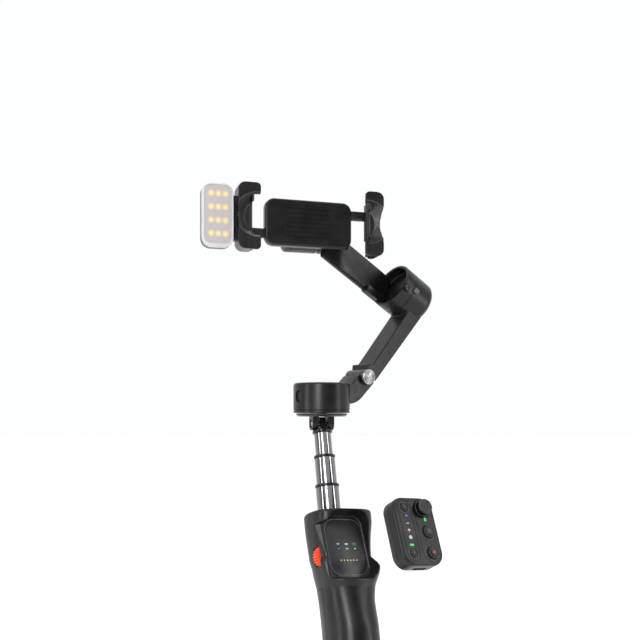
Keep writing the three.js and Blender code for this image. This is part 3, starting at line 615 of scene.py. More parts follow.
# The white ink of the icons carries a faint painted glow, though print is no lamp.
WHITE_INK_PAINTED_GLOW = printed("white_ink_painted_glow", (0.42, 0.42, 0.42), 0.05)
BLUE_LIGHT = printed("blue_light", (0.025, 0.09, 0.33), 0.3)
GREEN_LIGHT = printed("green_light", (0.025, 0.42, 0.09), 0.6)
# The record dot's red ink carries a faint painted glow, though print is no lamp.
RED_INK_PAINTED_GLOW = printed("red_ink_painted_glow", (0.3, 0.02, 0.014), 0.05)
BACKING = moulded("light_back", (0.05, 0.05, 0.052), 0.35)
FADED_INK = printed("faded_ink", (0.06, 0.06, 0.063))
BARREL = drawn_metal("hinge_barrel", (0.10, 0.10, 0.105), 0.3, (300, 3000, 300))
LUG = moulded("lock_lug", (0.06, 0.06, 0.063), 0.4)
JAW = moulded("jaw_black", (0.005, 0.005, 0.0053), 0.3, grain=2400, depth=0.00001, specular=0.6)


# ---- handle

def eased(keys, step):
    """Sections at even heights between the key ones, each value following a smooth curve."""
    sections = []
    for (low, high), before, after in zip(
        zip(keys, keys[1:]), [keys[0], *keys], [*keys[2:], keys[-1]]
    ):
        count = max(int((high[0] - low[0]) / step), 1)
        for i in range(count):
            t = i / count
            values = []
            for a, b, c, d in zip(before, low, high, after):
                slope_b = 0 if (b - a) * (c - b) <= 0 else (c - a) / 2
                slope_c = 0 if (c - b) * (d - c) <= 0 else (d - b) / 2
                limit = 3 * abs(c - b)
                slope_b = max(-limit, min(limit, slope_b))
                slope_c = max(-limit, min(limit, slope_c))
                values.append(
                    b * (1 + 2 * t) * (1 - t) ** 2 + slope_b * t * (1 - t) ** 2
                    + c * t * t * (3 - 2 * t) + slope_c * t * t * (t - 1)
                )
            sections.append((low[0] + (high[0] - low[0]) * t, *values[1:]))
    sections.append(keys[-1])
    return sections


def handle_body():
    """The whole outside of the handle, before anything is cut out of it."""
    grip, body = GRIP_HALF_WIDTH, BODY_HALF_WIDTH
    keys = [
        (HANDLE_BOTTOM, -0.4, grip, GRIP_FRONT, GRIP_BACK, 2.2),
        (18, -0.4, grip, GRIP_FRONT, GRIP_BACK, 2.2),
        (34, -0.4, grip, GRIP_FRONT + 2, GRIP_BACK, 2.25),
        (43.5, 0.2, grip + 0.7, -17.2, GRIP_BACK + 0.4, 2.5),
        (50, 0.6, body - 0.6, -19.4, BODY_BACK - 1.5, 2.8),
        (55, 0.7, body + 0.1, -20.4, BODY_BACK - 1.3, 2.9),
        (57.6, 0.6, body, -17.6, BODY_BACK - 1.2, 3),
        (62, 0.6, body + 0.2, -9.8, BODY_BACK - 0.9, 3),
        (70, 0.5, body + 0.5, -10.6, BODY_BACK - 0.3, 3),
        (77, 0.7, body + 1.1, -11, BODY_BACK, 3.1),
        (84, 0.9, body + 1.4, -12, BODY_BACK, 3.3),
        (88.5, 0.9, body + 1.4, -12, BODY_BACK, 3.3),
        (HANDLE_TOP - 0.6, 0.9, body + 1.2, -11.8, BODY_BACK - 0.2, 3.3),
        (HANDLE_TOP, 0.9, body + 0.5, -11.2, BODY_BACK - 0.9, 3.3),
    ]
    return loft("handle_body", eased(keys, 2.2), 96)


def bay_hollow():
    """The remote's bay: a pocket with its sloping way in, low on the left, with a ramp at its foot."""
    pocket = slab("pocket", BAY_WIDTH, BAY_HEIGHT, BAY_CORNER, -30, 0, steps=10)
    way_in = copy_of(pocket)
    for vertex in way_in.data.vertices:
        vertex.co.z += DOCK_DROP * vertex.co.y
    low_left = block("low_left", -22, BAY_WIDTH / 2 - 4, -30, -LOW_SIDE, -50, LOW_TOP)
    facet = turned(block("facet", -12, 12, -20, 0, -50, LOW_TOP), -FACET_TURN, "Z")
    moved(facet, -BAY_WIDTH / 2 - 3.1)
    above_ramp = turned(block("above_ramp", -30, 30, -30, 30, 0, 60), RAMP_SLOPE, "X")
    moved(above_ramp, 0, -1, -BAY_HEIGHT / 2)
    hollow = union(pocket, way_in, common(union(low_left, facet), above_ramp))
    return in_frame(hollow, HANDLE.inverted() @ PANEL)


def hood_limit():
    """What the hood's outline keeps: a wide round at its right shoulder and a small one at its left."""
    outline = soft_polygon([(-21, -120, 0), (23, -120, 0), (23, 23.6, 9), (-21, 23.6, 3)], 12)
    return in_frame(extrude("hood_limit", outline, -40, 60), HANDLE.inverted() @ PANEL)


def side_room(name, width, height, radius, x, y, z):
    """A pocket in the handle's right side, its long way upright."""
    return moved(turned(slab(name, width, height, radius, -1, 12), math.pi / 2, "Z"), x, y, z)


def handle_shells():
    """The front and rear shells, parted below the seam."""
    body = cut(common(handle_body(), hood_limit()), bay_hollow())
    skin = melted(body, 0.5, 12, keep=0.6)
    half = DIAL_HALF + 0.7
    dial_slot = disc("dial_slot", DIAL_RADIUS + 0.6, DIAL_Y - half, DIAL_Y + half, "Y", 0.8)
    rod_room = disc("rod_room", TUBES["outer"][0] + 0.25, SEAM_TOP, HANDLE_TOP + 10, "Z")
    base_room = disc("base_room", 12.2, HANDLE_BOTTOM - 1, HANDLE_BOTTOM + 2.5)
    cut(
        skin,
        moved(dial_slot, DIAL_X, 0, DIAL_Z),
        moved(rod_room, ROD_X, ROD_Y),
        side_room("power_room", 6.4, 10.4, 3.1, 17.6, POWER_Y, POWER_Z),
        side_room("port_room", 9, 3.4, 1.6, 16, 12, 79),
        moved(base_room, 0, CELL_Y),
    )
    zone = block("zone", -40, 40, 0, 40, HANDLE_BOTTOM - 10, SEAM_TOP)
    rear = common(copy_of(skin), copy_of(zone))
    rear.name = "rear_shell"
    moved(rear, 0, GAP, -GAP)
    cut(rear, slab("trigger_room", 12.8, 18.8, 4.3, 6.5, 24, 0, TRIGGER_Z))
    front = cut(skin, zone)
    front.name = "front_shell"
    dial_marks(front)
    finished(front, HANDLE, "handle", GRIP, ["handle_front_shell"])
    finished(rear, HANDLE, "handle", GRIP, ["handle_rear_shell"])


def zoom_wheel():
    """Twenty-six rounded ribs round a wheel, with smooth sides."""
    teeth, per_tooth = 26, 8
    outline = []
    for i, (c, s) in enumerate(around(teeth * per_tooth)):
        wave = 0.5 + 0.5 * math.cos(2 * math.pi * i / per_tooth)
        radius = DIAL_RADIUS - 1 + wave ** 0.6
        outline.append((radius * c, radius * s))
    wheel = rounded_edges(extrude("zoom_wheel", outline, DIAL_Y - DIAL_HALF, DIAL_Y + DIAL_HALF), 0.35, 2, 60)
    moved(wheel, DIAL_X, 0, DIAL_Z)
    finished(wheel, HANDLE, "zoom_dial", ORANGE, ["zoom_dial"], angle=50)


def dial_marks(shell):
    """Small printed scale ticks on the wall in front of the wheel, longer at every third."""
    front = DIAL_Y - DIAL_HALF - 2.3
    ticks = []
    for i in range(-3, 4):
        length = 1.1 if i % 3 == 0 else 0.6
        hit, spot, _, _ = shell.ray_cast((-40, front, DIAL_Z + 2 * i), (1, 0, 0))
        if hit:
            tick = block("dial_tick", -0.05, 0.05, -length / 2, length / 2, -0.13, 0.13)
            ticks.append(moved(tick, *spot))
    finished(together(*ticks), HANDLE, "handle", FADED_INK)


def handle_controls():
    trigger = pillow("finger_trigger", 12, 18, 4, 9.7, 18.2, 1.4, 0, TRIGGER_Z)
    cut(trigger, moved(disc("scoop", 9, -10, 10, "X"), 0, 25.4, TRIGGER_Z))
    finished(rounded_edges(trigger, 0.4, 2), HANDLE, "trigger", RUBBER, ["trigger"])
    power = turned(pillow("power_key", 6, 10, 2.9, 0, 4, 0.6), math.pi / 2, "Z")
    moved(power, 16.4, POWER_Y, POWER_Z)
    finished(power, HANDLE, "power_button", DARK, ["power_button"])


def handle_base():
    """The rubber foot and the tripod bush with its rings of thread."""
    low, top = HANDLE_BOTTOM - 1.5, HANDLE_BOTTOM + 2.2
    cap = ring("foot_cap", 11.9, 4.2, HANDLE_BOTTOM - 1.8, top, edge=0.7)
    cut(cap, *[ring("groove", r + 0.35, r - 0.35, HANDLE_BOTTOM - 3, low + 0.2) for r in (6.4, 8.2, 10)])
    finished(moved(cap, 0, CELL_Y), HANDLE, "handle", RUBBER, ["base_cap"])
    turns, root, crest = 6, 3.45, 3.17
    pitch = (top - low) / turns
    profile = [(3.87, low), (3.87, top)]
    for i in range(turns):
        start = top - i * pitch
        profile += [(crest, start - 0.05), (root, start - pitch / 2)]
    insert = moved(lathe("thread_insert", [*profile, (crest, low)], 64), 0, CELL_Y)
    finished(insert, HANDLE, "handle", STEEL, ["tripod_thread_insert"], angle=20)


def bay_fittings():
    """The bay's floor plate, a thin grey ring round it that is a painted highlight on the floor's edge, the
    contacts and the status marks.
    """
    outline = rounded_outline(BAY_WIDTH - 0.7, BAY_HEIGHT - 0.7, BAY_CORNER - 0.3, 10)
    plate = extrude("bay_plate", outline, -0.22, -0.05)
    finished(rounded_edges(plate, 0.08, 2), PANEL, "handle", PANEL_BLACK)
    # A thin grey ring, standing just proud of the plate, paints the highlight along the floor's edge.
    rim = cut(
        slab("painted_bay_highlight", BAY_WIDTH - 1.2, BAY_HEIGHT - 4.4, BAY_CORNER, -0.28, -0.15, 0, -0.6, 10),
        slab("painted_bay_highlight_inside", BAY_WIDTH - 1.9, BAY_HEIGHT - 5.1, BAY_CORNER - 0.3, -3, 3, 0, -0.6, 10),
    )
    finished(rounded_edges(rim, 0.04, 2), PANEL, "handle", PAINTED_HIGHLIGHT)
    pins = [disc("contact_pins", 0.45, -0.28, -0.15, "Y", 0.06, 24) for _ in range(6)]
    for i, pin in enumerate(pins):
        moved(pin, PIN_X + i * PIN_PITCH, 0, PIN_Z)
    finished(together(*pins), PANEL, "handle", GOLD, ["pogo_block"])
    for x, light, width in zip(MARK_X, (BLUE_LIGHT, GREEN_LIGHT, GREEN_LIGHT), (1.1, 1.9, 1.1)):
        lamp = slab("status_lamp", width, 0.9, 0.4, -0.27, -0.2, x, MARK_Z - 2.9, 4)
        finished(lamp, PANEL, "handle", light)
    for x, icon in zip(MARK_X, (icon_fan, icon_cell, icon_frame)):
        finished(moved(icon(), x, -0.2, MARK_Z), PANEL, "handle", WHITE_INK_PAINTED_GLOW)


def icon_fan():
    """Two nested arcs."""
    arcs = []
    for radius in (0.55, 1.1):
        outer = arc_points(0, -0.6, radius + 0.14, 30, 150, 8)
        inner = arc_points(0, -0.6, radius - 0.14, 150, 30, 8)
        arcs.append(extrude("icon_fan", outer + inner, -0.07, 0))
    return together(*arcs)


def icon_cell():
    """A battery: a solid bar with a small nub."""
    bar = slab("icon_cell", 1.9, 1.0, 0.2, -0.07, 0, 0, 0, 3)
    nub = block("nub", 1.0, 1.3, -0.07, 0, -0.25, 0.25)
    return together(bar, nub)


def icon_frame():
    """A viewfinder: four corner brackets."""
    outline = slab("icon_frame", 1.9, 1.4, 0.3, -0.07, 0, 0, 0, 3)
    hole = slab("hole", 1.5, 1.0, 0.2, -1, 1, 0, 0, 3)
    bars = [block("bar", -0.35, 0.35, -1, 1, -2, 2), block("bar", -2, 2, -1, 1, -0.25, 0.25)]
    return cut(outline, hole, *bars)


def make_handle():
    handle_shells()
    zoom_wheel()
    handle_controls()
    handle_base()
    bay_fittings()


# ---- telescopic rod

def make_rod():
    """Three tubes that slide in each other, each but the top one with a dark lip."""
    names = list(TUBES)
    for i, name in enumerate(names):
        radius, top = TUBES[name]
        bore = radius - TUBE_WALL if name != "inner" else INNER_BORE
        low = top - TUBE_LENGTH
        high = top - 1.9 if name != "inner" else top - GAP
        tube = ring(name + "_tube", radius, bore, low, high, edge=0.2, segments=128)
        finished(tube, ROD, "rod_" + name, CHROME, [f"rod_{name}_tube"])
        if name == "inner":
            continue
        inside = TUBES[names[i + 1]][0] + 0.15
        lip = ring(name + "_lip", radius + 0.35, inside, top - 1.6, top, edge=0.45, segments=128)
        finished(lip, ROD, "rod_" + name, DARK, [f"rod_{name}_lip"])
    rod_head()


def rod_head():
    """The collar on the top tube, with the tongue that the neck turns on."""
    top = TUBES["inner"][1]
    collar = disc("neck_collar", 6.4, top, top + 1.9, edge=0.5)
    tongue = block("tongue", -1.9, 1.9, -KNUCKLE_RADIUS, KNUCKLE_RADIUS, top + 1, NECK_HEIGHT)
    knuckle = moved(disc("knuckle", KNUCKLE_RADIUS, -1.9, 1.9, "X", 0.3), 0, 0, NECK_HEIGHT)
    hole = moved(disc("hole", NECK_HOLE, -10, 10, "X"), 0, 0, NECK_HEIGHT)
    head = cut(union(collar, tongue, knuckle), hole)
    for z in (-3.2, 3.2):
        cut(head, moved(disc("dimple", 0.8, 1.6, 2.6, "X", segments=24), 0, 0, NECK_HEIGHT + z))
    turned(head, -HANDLE_TWIST, "Z")
    finished(rounded_edges(head, 0.15, 2), ROD, "rod_inner", DARK, ["rod_head"])


# ---- remote

def stadium_groove(half_width, low, high, x, width=0.28):
    """A thin closed groove round a tall rounded field on the remote's face."""
    height = high - low
    middle = (high + low) / 2
    outer = slab("groove", 2 * half_width, height, half_width - 0.05, FACE - 1, FACE + 0.22, x, middle, 14)
    inner = slab(
        "island", 2 * (half_width - width), height - 2 * width, half_width - width - 0.05,
        FACE - 2, FACE + 1, x, middle, 14,
    )
    return cut(outer, inner)


def remote_case():
    halfway = -REMOTE_DEPTH / 2
    back = pillow("remote_back", REMOTE_WIDTH, REMOTE_HEIGHT, REMOTE_CORNER, halfway - 3, 0, 1.6)
    cut(back, block("over", -30, 30, halfway - 9, halfway, -30, 30))
    port = slab("port", 9, 3.2, 1.55, -5, 6)
    turned(port, -math.pi / 2, "X")
    moved(port, 0, -4, -REMOTE_HEIGHT / 2)
    inside = slab("inside", REMOTE_WIDTH - 3, REMOTE_HEIGHT - 3, REMOTE_CORNER - 1.5, halfway - 5, -1.4)
    cut(back, inside, port)
    finished(back, REMOTE, "remote", SATIN, ["remote_back_case"])

    front = pillow("remote_front", REMOTE_WIDTH, REMOTE_HEIGHT, REMOTE_CORNER, FACE, halfway + 4, 1.3)
    cut(front, block("under", -30, 30, halfway - GAP, halfway + 9, -30, 30))
    cut(front, slab("inside", REMOTE_WIDTH - 3, REMOTE_HEIGHT - 3, REMOTE_CORNER - 1.5, FACE + 1.4, 1))
    cut(front, stadium_groove(4.3, -17.4, 17.9, -6.1), stadium_groove(6.3, -18.0, 18.4, 6.4))
    for radius, (x, z) in [*key_wells(), (STICK_WELL, (STICK_X, STICK_Z))]:
        cut(front, moved(disc("well", radius, FACE - 5, 5, "Y"), x, 0, z))
    finished(front, REMOTE, "remote", SATIN, ["remote_front_case"])


def key_wells():
    """The radius and place of the well round each key."""
    small = [(SMALL_WELL, spot) for spot in SMALL_BUTTONS.values()]
    return small + [(ROUND_WELL, spot) for spot in ROUND_BUTTONS.values()]


def painted_well_highlights():
    """A thin grey ring round each key's well, a painted highlight on the well's edge."""
    rings = []
    for radius, (x, z) in key_wells():
        # Each grey ring paints the highlight on a well's edge.
        lip = ring("painted_well_highlights", radius + 0.22, radius + 0.02, FACE - 0.06, FACE + 0.1, "Y", 0.03)
        rings.append(moved(lip, x, 0, z))
    finished(together(*rings), REMOTE, "remote", PAINTED_HIGHLIGHT)


def button(name, radius, stand, x, z, body, material=DARK):
    """A round key with a soft rim and a slightly dished top."""
    top = FACE - stand
    dish = [(radius * f, top + 0.3 - 0.3 * f * f) for f in (0, 0.2, 0.4, 0.6, 0.75)]
    rim = [(radius - 0.45, top), (radius - 0.2, top + 0.1), (radius - 0.05, top + 0.28), (radius, top + 0.5)]
    key = lathe(name, dish + rim + [(radius, FACE + 3), (0, FACE + 3)], 72, "Y")
    moved(key, x, 0, z)
    return finished(key, REMOTE, body, material, [body], angle=50)


def remote_keys():
    for name, (x, z) in SMALL_BUTTONS.items():
        button(name + "_key", 2.6, 0.8, x, z, name + "_button")
        side = -1 if name == "previous" else 1
        arrow = extrude("arrow", [(-0.45 * side, 0.55), (0.5 * side, 0), (-0.45 * side, -0.55)], -0.04, 0.04)
        moved(arrow, x, FACE - 0.8 + 0.28, z)
        finished(arrow, REMOTE, name + "_button", FADED_INK)
    for name, (x, z) in ROUND_BUTTONS.items():
        button(name + "_key", 3.8, 1.3, x, z, name + "_button", SATIN)
    x, z = ROUND_BUTTONS["mode"]
    bars = [block("bar", -1.3, 1.3, -0.04, 0.04, h - 0.22, h + 0.22) for h in (-0.85, 0, 0.85)]
    finished(moved(together(*bars), x, FACE - 1.3 + 0.26, z), REMOTE, "mode_button", FADED_INK)
    x, z = ROUND_BUTTONS["record"]
    dot = moved(disc("record_dot", 0.85, -0.04, 0.04, "Y", 0.02, 32), x, FACE - 1.3 + 0.28, z)
    finished(dot, REMOTE, "record_button", RED_INK_PAINTED_GLOW)


def remote_stick():
    ring_top = FACE - 1.2
    profile = [(4.0, FACE + 3), (4.0, ring_top + 0.35), (4.12, ring_top + 0.1), (4.35, ring_top)]
    profile += [(4.8, ring_top), (5.1, ring_top + 0.15), (5.2, ring_top + 0.45), (5.2, FACE + 3)]
    collar = moved(lathe("stick_collar", profile, 96, "Y"), STICK_X, 0, STICK_Z)
    finished(collar, REMOTE, "remote", DARK, ["joystick_ring"], angle=50)
    profile = [
        (0, -3.35), (1.2, -3.42), (2.4, -3.65), (3.0, -3.95), (3.4, -4.3), (3.75, -4.38), (4.05, -4.25),
        (4.3, -3.95), (4.4, -3.6), (4.38, -3.1), (4.2, -2.7), (3.8, -2.45), (3.1, -2.2), (2.3, -1.8),
        (1.8, -1.3), (1.7, -0.6), (1.7, 3.2), (0, 3.2),
    ]
    stick = lathe("stick", [(r, FACE + h) for r, h in profile], 96, "Y")
    nubs = [disc("nub", 0.34, -4.62, -4.2, "Y", 0.12, 20) for _ in range(4)]
    for i, nub in enumerate(nubs):
        angle = math.pi / 4 + i * math.pi / 2
        moved(nub, 3.85 * math.cos(angle), FACE + 0.1, 3.85 * math.sin(angle))
    union(stick, *nubs)
    moved(stick, STICK_X, 0, STICK_Z)
    finished(stick, REMOTE, "joystick", RUBBER, ["joystick"], angle=50)


def remote_marks():
    """The status column: lights and small plain icons."""
    def on_face(piece, x, z, material):
        finished(moved(piece, x, FACE - 0.02, z), REMOTE, "remote", material)

    lights = (
        ("link_light", 1.5, 1.5, 0.5, -5.7, 8.7, BLUE_LIGHT),
        ("charge_light", 2.7, 1.2, 0.5, -6.3, -8.0, GREEN_LIGHT),
        ("mode_light", 1.4, 2.2, 0.6, 6.6, 6.6, GREEN_LIGHT),
    )
    for name, width, height, corner, x, z, material in lights:
        on_face(slab(name, width, height, corner, -0.05, 0.05, steps=4), x, z, material)
    arc = arc_points(0, 1.2, 1.5, 230, 310, 10) + arc_points(0, 1.2, 1.15, 310, 230, 10)
    on_face(extrude("icon_arc", arc, -0.04, 0.04), -6.0, 4.3, WHITE_INK_PAINTED_GLOW)
    star = [(r * c, r * s) for r, (c, s) in zip((1.15, 0.42) * 4, around(8))]
    on_face(extrude("icon_star", star, -0.04, 0.04), -6.0, 0.4, WHITE_INK_PAINTED_GLOW)
    on_face(disc("icon_dot", 1.05, -0.04, 0.04, "Y", 0.02, 40), -6.0, -3.7, WHITE_INK_PAINTED_GLOW)


def make_remote():
    remote_case()
    painted_well_highlights()
    remote_keys()
    remote_stick()
    remote_marks()


# ---- pan motor and first arm

def pan_base():
    """The plate under the pan motor, its two cheeks, and the screw through them and the tongue."""
    low, high = PAN_BASE_LOW, PAN_BOTTOM - GAP
    profile = [(0, low), (14.6, low), (15.2, low + 0.15), (16.2, low + 0.75), (16.5, low + 1.3)]
    plate = lathe("neck_base", profile + [(16.5, high), (0, high)], 128)
    post = disc("post", 3, high - 0.5, PAN_BOTTOM + 12)
    cheeks = []
    for x0, x1 in ((-7.2, -3.1), (3.1, 7.2)):
        cheek = block("cheek", x0, x1, -KNUCKLE_RADIUS, KNUCKLE_RADIUS, -NECK_DROP, low + 0.5)
        knuckle = moved(disc("knuckle", KNUCKLE_RADIUS, x0, x1, "X"), 0, 0, -NECK_DROP)
        cheeks.append(rounded_edges(union(cheek, knuckle), 0.45, 3))
    hole = moved(disc("hole", NECK_HOLE, -12, 12, "X"), 0, 0, -NECK_DROP)
    sinks = [moved(disc("sink", 2.9, x0, x1, "X"), 0, 0, -NECK_DROP) for x0, x1 in ((-9, -6.5), (6.5, 9))]
    base = cut(union(plate, post, *cheeks), hole, *sinks)
    turned(base, -ARM_YAW, "Z")
    finished(base, PAN, "pan_base", DARK, ["pan_base"])
    profile = [(0, -6.9), (1.3, -6.9), (1.6, -6.6), (1.6, 6.6), (1.3, 6.9), (0, 6.9)]
    pin = lathe("neck_screw", profile, 48, "X")
    sockets = [disc("socket", 0.9, x0, x1, "X", segments=6) for x0, x1 in ((-8, -6.2), (6.2, 8))]
    cut(pin, *sockets)
    moved(pin, 0, 0, -NECK_DROP)
    turned(pin, -ARM_YAW, "Z")
    finished(pin, PAN, "pan_base", STEEL, ["neck_pin"])


def first_arm_outline():
    root = PAN_OFFSET + 8
    return soft_polygon([
        (root, PAN_TOP - 0.2, 0), (25, PAN_TOP - 0.2, 3), (FOLD_X - 6, FOLD_Z + 1.4, 2.5),
        (FOLD_X, FOLD_Z, 0), (FOLD_X + 7.3, FOLD_Z - 2.9, 1.2), (29.1, ARM_LOW, 20), (root, ARM_LOW, 0),
    ])


def pan_housing():
    """The pan motor's can with the first arm, its window and the seat of the folding hinge."""
    top, low, r = PAN_TOP, PAN_BOTTOM, PAN_RADIUS
    profile = [(0, top - 0.35), (r - 3.4, top - 0.35), (r - 3.0, top)]
    profile += [(r - 1.5, top), (r - 0.55, top - 0.45), (r - 0.12, top - 1.2), (r, top - 2.1)]
    profile += [(r, low + 2.0), (r - 0.35, low + 1.75), (r - 0.35, low + 1.45), (r - 0.05, low + 1.2)]
    profile += [(r - 0.05, low + 0.35), (r - 0.4, low), (0, low)]
    cup = lathe("pan_can", profile, 192)
    moved(cup, PAN_OFFSET, 0, 0)
    arm = rounded_edges(extrude("first_arm", first_arm_outline(), ARM_FRONT, ARM_REAR), 0.9, 4, 40)
    union(cup, arm)
    saddle = moved(disc("saddle", FOLD_RADIUS + GAP, -20, 20, "Y"), FOLD_X, 0, FOLD_Z)
    lip = moved(disc("lip", FOLD_RADIUS + 3.2, ARM_FRONT - 5, ARM_FRONT + 0.45, "Y"), FOLD_X, 0, FOLD_Z)
    rooms = [
        moved(disc("motor_room", 14.6, low - 1, low + 12.2), PAN_OFFSET),
        moved(disc("bearing_room", 6, low - 1, low + 15.8), PAN_OFFSET),
    ]
    window = slab("window", 6.4, 7.6, 3.1, -3, 1.1, steps=12)
    turned(window, -math.pi / 2, "Z")
    moved(window, PAN_OFFSET - r, 0, PAN_WINDOW_Z)
    cut(cup, saddle, lip, window, *rooms)
    finished(cup, ARMS, "pan_arm", SATIN, ["pan_housing"])


def fold_hinge():
    """The grooved barrel, and the turned pin that closes its front."""
    r, front, rear = FOLD_RADIUS, FOLD_FRONT, FOLD_REAR
    profile = [(2.4, rear), (r - 0.5, rear), (r, rear - 0.5)]
    for y in (-1.5, -9.2):
        profile += [(r, y + 0.2), (r - 0.3, y + 0.1), (r - 0.3, y - 0.1), (r, y - 0.2)]
    profile += [(r, front + 0.4), (r - 0.3, front), (2.4, front)]
    barrel = moved(lathe("hinge_barrel", profile, 128, "Y"), FOLD_X, 0, FOLD_Z)
    finished(barrel, ARMS, "pan_arm", BARREL, ["fold_barrel"])
    low = front - 1
    profile = [(0, low + 0.12), (3.9, low + 0.12), (4.1, low), (4.6, low), (5.0, low + 0.35)]
    profile += [(5.0, front - GAP), (2.1, front - GAP), (2.1, rear), (0, rear)]
    pin = moved(lathe("hinge_pin", profile, 128, "Y"), FOLD_X, 0, FOLD_Z)
    finished(pin, ARMS, "roll_arm", HINGE_FACE, ["fold_pin"])


# ---- second arm and roll motor

def second_arm_outline():
    return soft_polygon([
        (42.9, -93.1, 1.0), (80, -48.5, 0), (94, -50, 0),
        (FOLD_X + 7.6, FOLD_Z - 2.6, 1.2), (FOLD_X, FOLD_Z, 0), (FOLD_X + 1.2, FOLD_Z + 8.8, 0.8),
    ])


def roll_arm():
    end, r = ROLL_END - 0.05, ROLL_RADIUS - 0.05
    profile = [(0, ROLL_SEAM - 3), (r, ROLL_SEAM - 3), (r, end - 5.4), (r - 0.3, end - 4.2)]
    profile += [(r - 1.4, end - 2.6), (r - 3.4, end - 1.0), (r - 6, end - 0.15), (0, end)]
    can = in_frame(lathe("roll_can", profile, 160, "X"), ROLL_IN_ARMS)
    bar = rounded_edges(extrude("second_arm", second_arm_outline(), ARM_FRONT, ARM_REAR), 0.5, 3, 40)
    arm = melted(union(can, bar), 0.34, 3, keep=0.5)
    seam = in_frame(disc("seam", 40, 20, ROLL_SEAM + GAP, "X"), ROLL_IN_ARMS)
    hollow = in_frame(disc("hollow", 13.6, ROLL_SEAM - 2, ROLL_SEAM + 11, "X"), ROLL_IN_ARMS)
    hinge = moved(disc("hinge", FOLD_RADIUS + GAP, -20, 20, "Y"), FOLD_X, 0, FOLD_Z)
    cut(arm, hinge, seam, hollow)
    finished(arm, ARMS, "roll_arm", SATIN, ["roll_arm"])


def roll_cup():
    """The open cup on the roll motor, with its mouth dark inside."""
    r, mouth, seam = ROLL_RADIUS, ROLL_MOUTH, ROLL_SEAM
    profile = [(0, seam - 2.5), (13.2, seam - 2.5), (13.8, seam - 3.1), (13.8, mouth + 0.5), (14.2, mouth)]
    profile += [(r - 0.9, mouth), (r - 0.25, mouth + 0.25), (r, mouth + 0.9), (r, seam - 1.2)]
    profile += [(r - 0.3, seam - 1.0), (r - 0.3, seam - 0.7), (r, seam - 0.5), (r, seam), (0, seam)]
    cup = lathe("roll_cup", profile, 160, "X")
    shaft = disc("shaft", 2.9, seam - 3, seam + 10, "X")
    notch = moved(block("notch", mouth - 2, mouth + 4.6, -r - 3, -r + 1.4, -1.9, 1.9), 0, 0, -3.4)
    cut(cup, notch)
    return union(cup, shaft)


def tilt_plate():
    """The third arm, from the cup's rear wall to the tilt motor, with rounded long edges."""
    plate = block("third_arm", PLATE_END, ROLL_MOUTH + 6, PLATE_FRONT, PLATE_BACK, -PLATE_HALF, PLATE_HALF)
    lower = block("lower", ROLL_MOUTH - 12, ROLL_MOUTH + 4, 6, 14.2, -PLATE_HALF - 2, -PLATE_HALF + 3)
    arm = common(union(plate, lower), disc("limit", ROLL_RADIUS + 0.4, 0, 100, "X"))
    return rounded_edges(arm, 0.7, 3, 40)


def tilt_arm():
    cup = in_frame(roll_cup(), HEAD_IN_ROLL.inverted())
    plate = in_frame(tilt_plate(), HEAD_IN_ROLL.inverted())
    case = disc("tilt_case", TILT_RADIUS, TILT_SEAM, TILT_SEAM + 20, "X", 1.6, 160)
    groove = ring("case_groove", TILT_RADIUS + 1, TILT_RADIUS - 0.35, TILT_SEAM + 2.6, TILT_SEAM + 3.1, "X")
    hollow = disc("hollow", 11, TILT_SEAM - 2, TILT_SEAM + 13, "X")
    cut(case, groove)
    moved(case, 0, TILT_Y, TILT_Z)
    arm = union(case, plate, cup)
    cut(arm, moved(hollow, 0, TILT_Y, TILT_Z))
    finished(arm, HEAD, "tilt_arm", SATIN, ["tilt_arm"])


def roll_lugs():
    def lug(name, s0, s1, z, height, body, material):
        piece = block(name, s0, s1, -ROLL_RADIUS - height, -ROLL_RADIUS + 1.5, z - 1.7, z + 1.7)
        cut(piece, disc("room", ROLL_RADIUS + GAP, ROLL_MOUTH - 5, ROLL_END, "X", segments=160))
        rounded_edges(piece, 0.3, 2)
        finished(piece, ROLL, body, material, [name.replace("_tab", "_lug")])

    lug("roll_stop_tab", ROLL_MOUTH + 0.3, ROLL_MOUTH + 3.6, -3.4, 1.3, "tilt_arm", DARK)
    lug("roll_lock_tab", ROLL_SEAM - 1.4, ROLL_SEAM + 2.8, -0.6, 1.3, "roll_arm", LUG)


def tilt_bracket():
    rotor = disc("tilt_rotor", TILT_RADIUS, -11, TILT_SEAM - GAP, "X", 1.6, 160)
    for x in (-7.5, 8.6):
        cut(rotor, ring("rotor_groove", TILT_RADIUS + 1, TILT_RADIUS - 0.35, x, x + 0.5, "X"))
    union(rotor, disc("shaft", 2.6, TILT_SEAM - 2, TILT_SEAM + 11, "X"))
    moved(rotor, 0, TILT_Y, TILT_Z)
    hub = moved(disc("hub", HUB_RADIUS, HUB_REAR, TILT_Y, "Y", 0.8, 160), 0, 0, CLAMP_Z)
    spigot = moved(disc("spigot", 4, BACK_REAR - 4, HUB_REAR + 1, "Y"), 0, 0, CLAMP_Z)
    bracket = union(rotor, hub, spigot)
    finished(bracket, HEAD, "tilt_bracket", SATIN, ["tilt_bracket"])


# ---- clamp

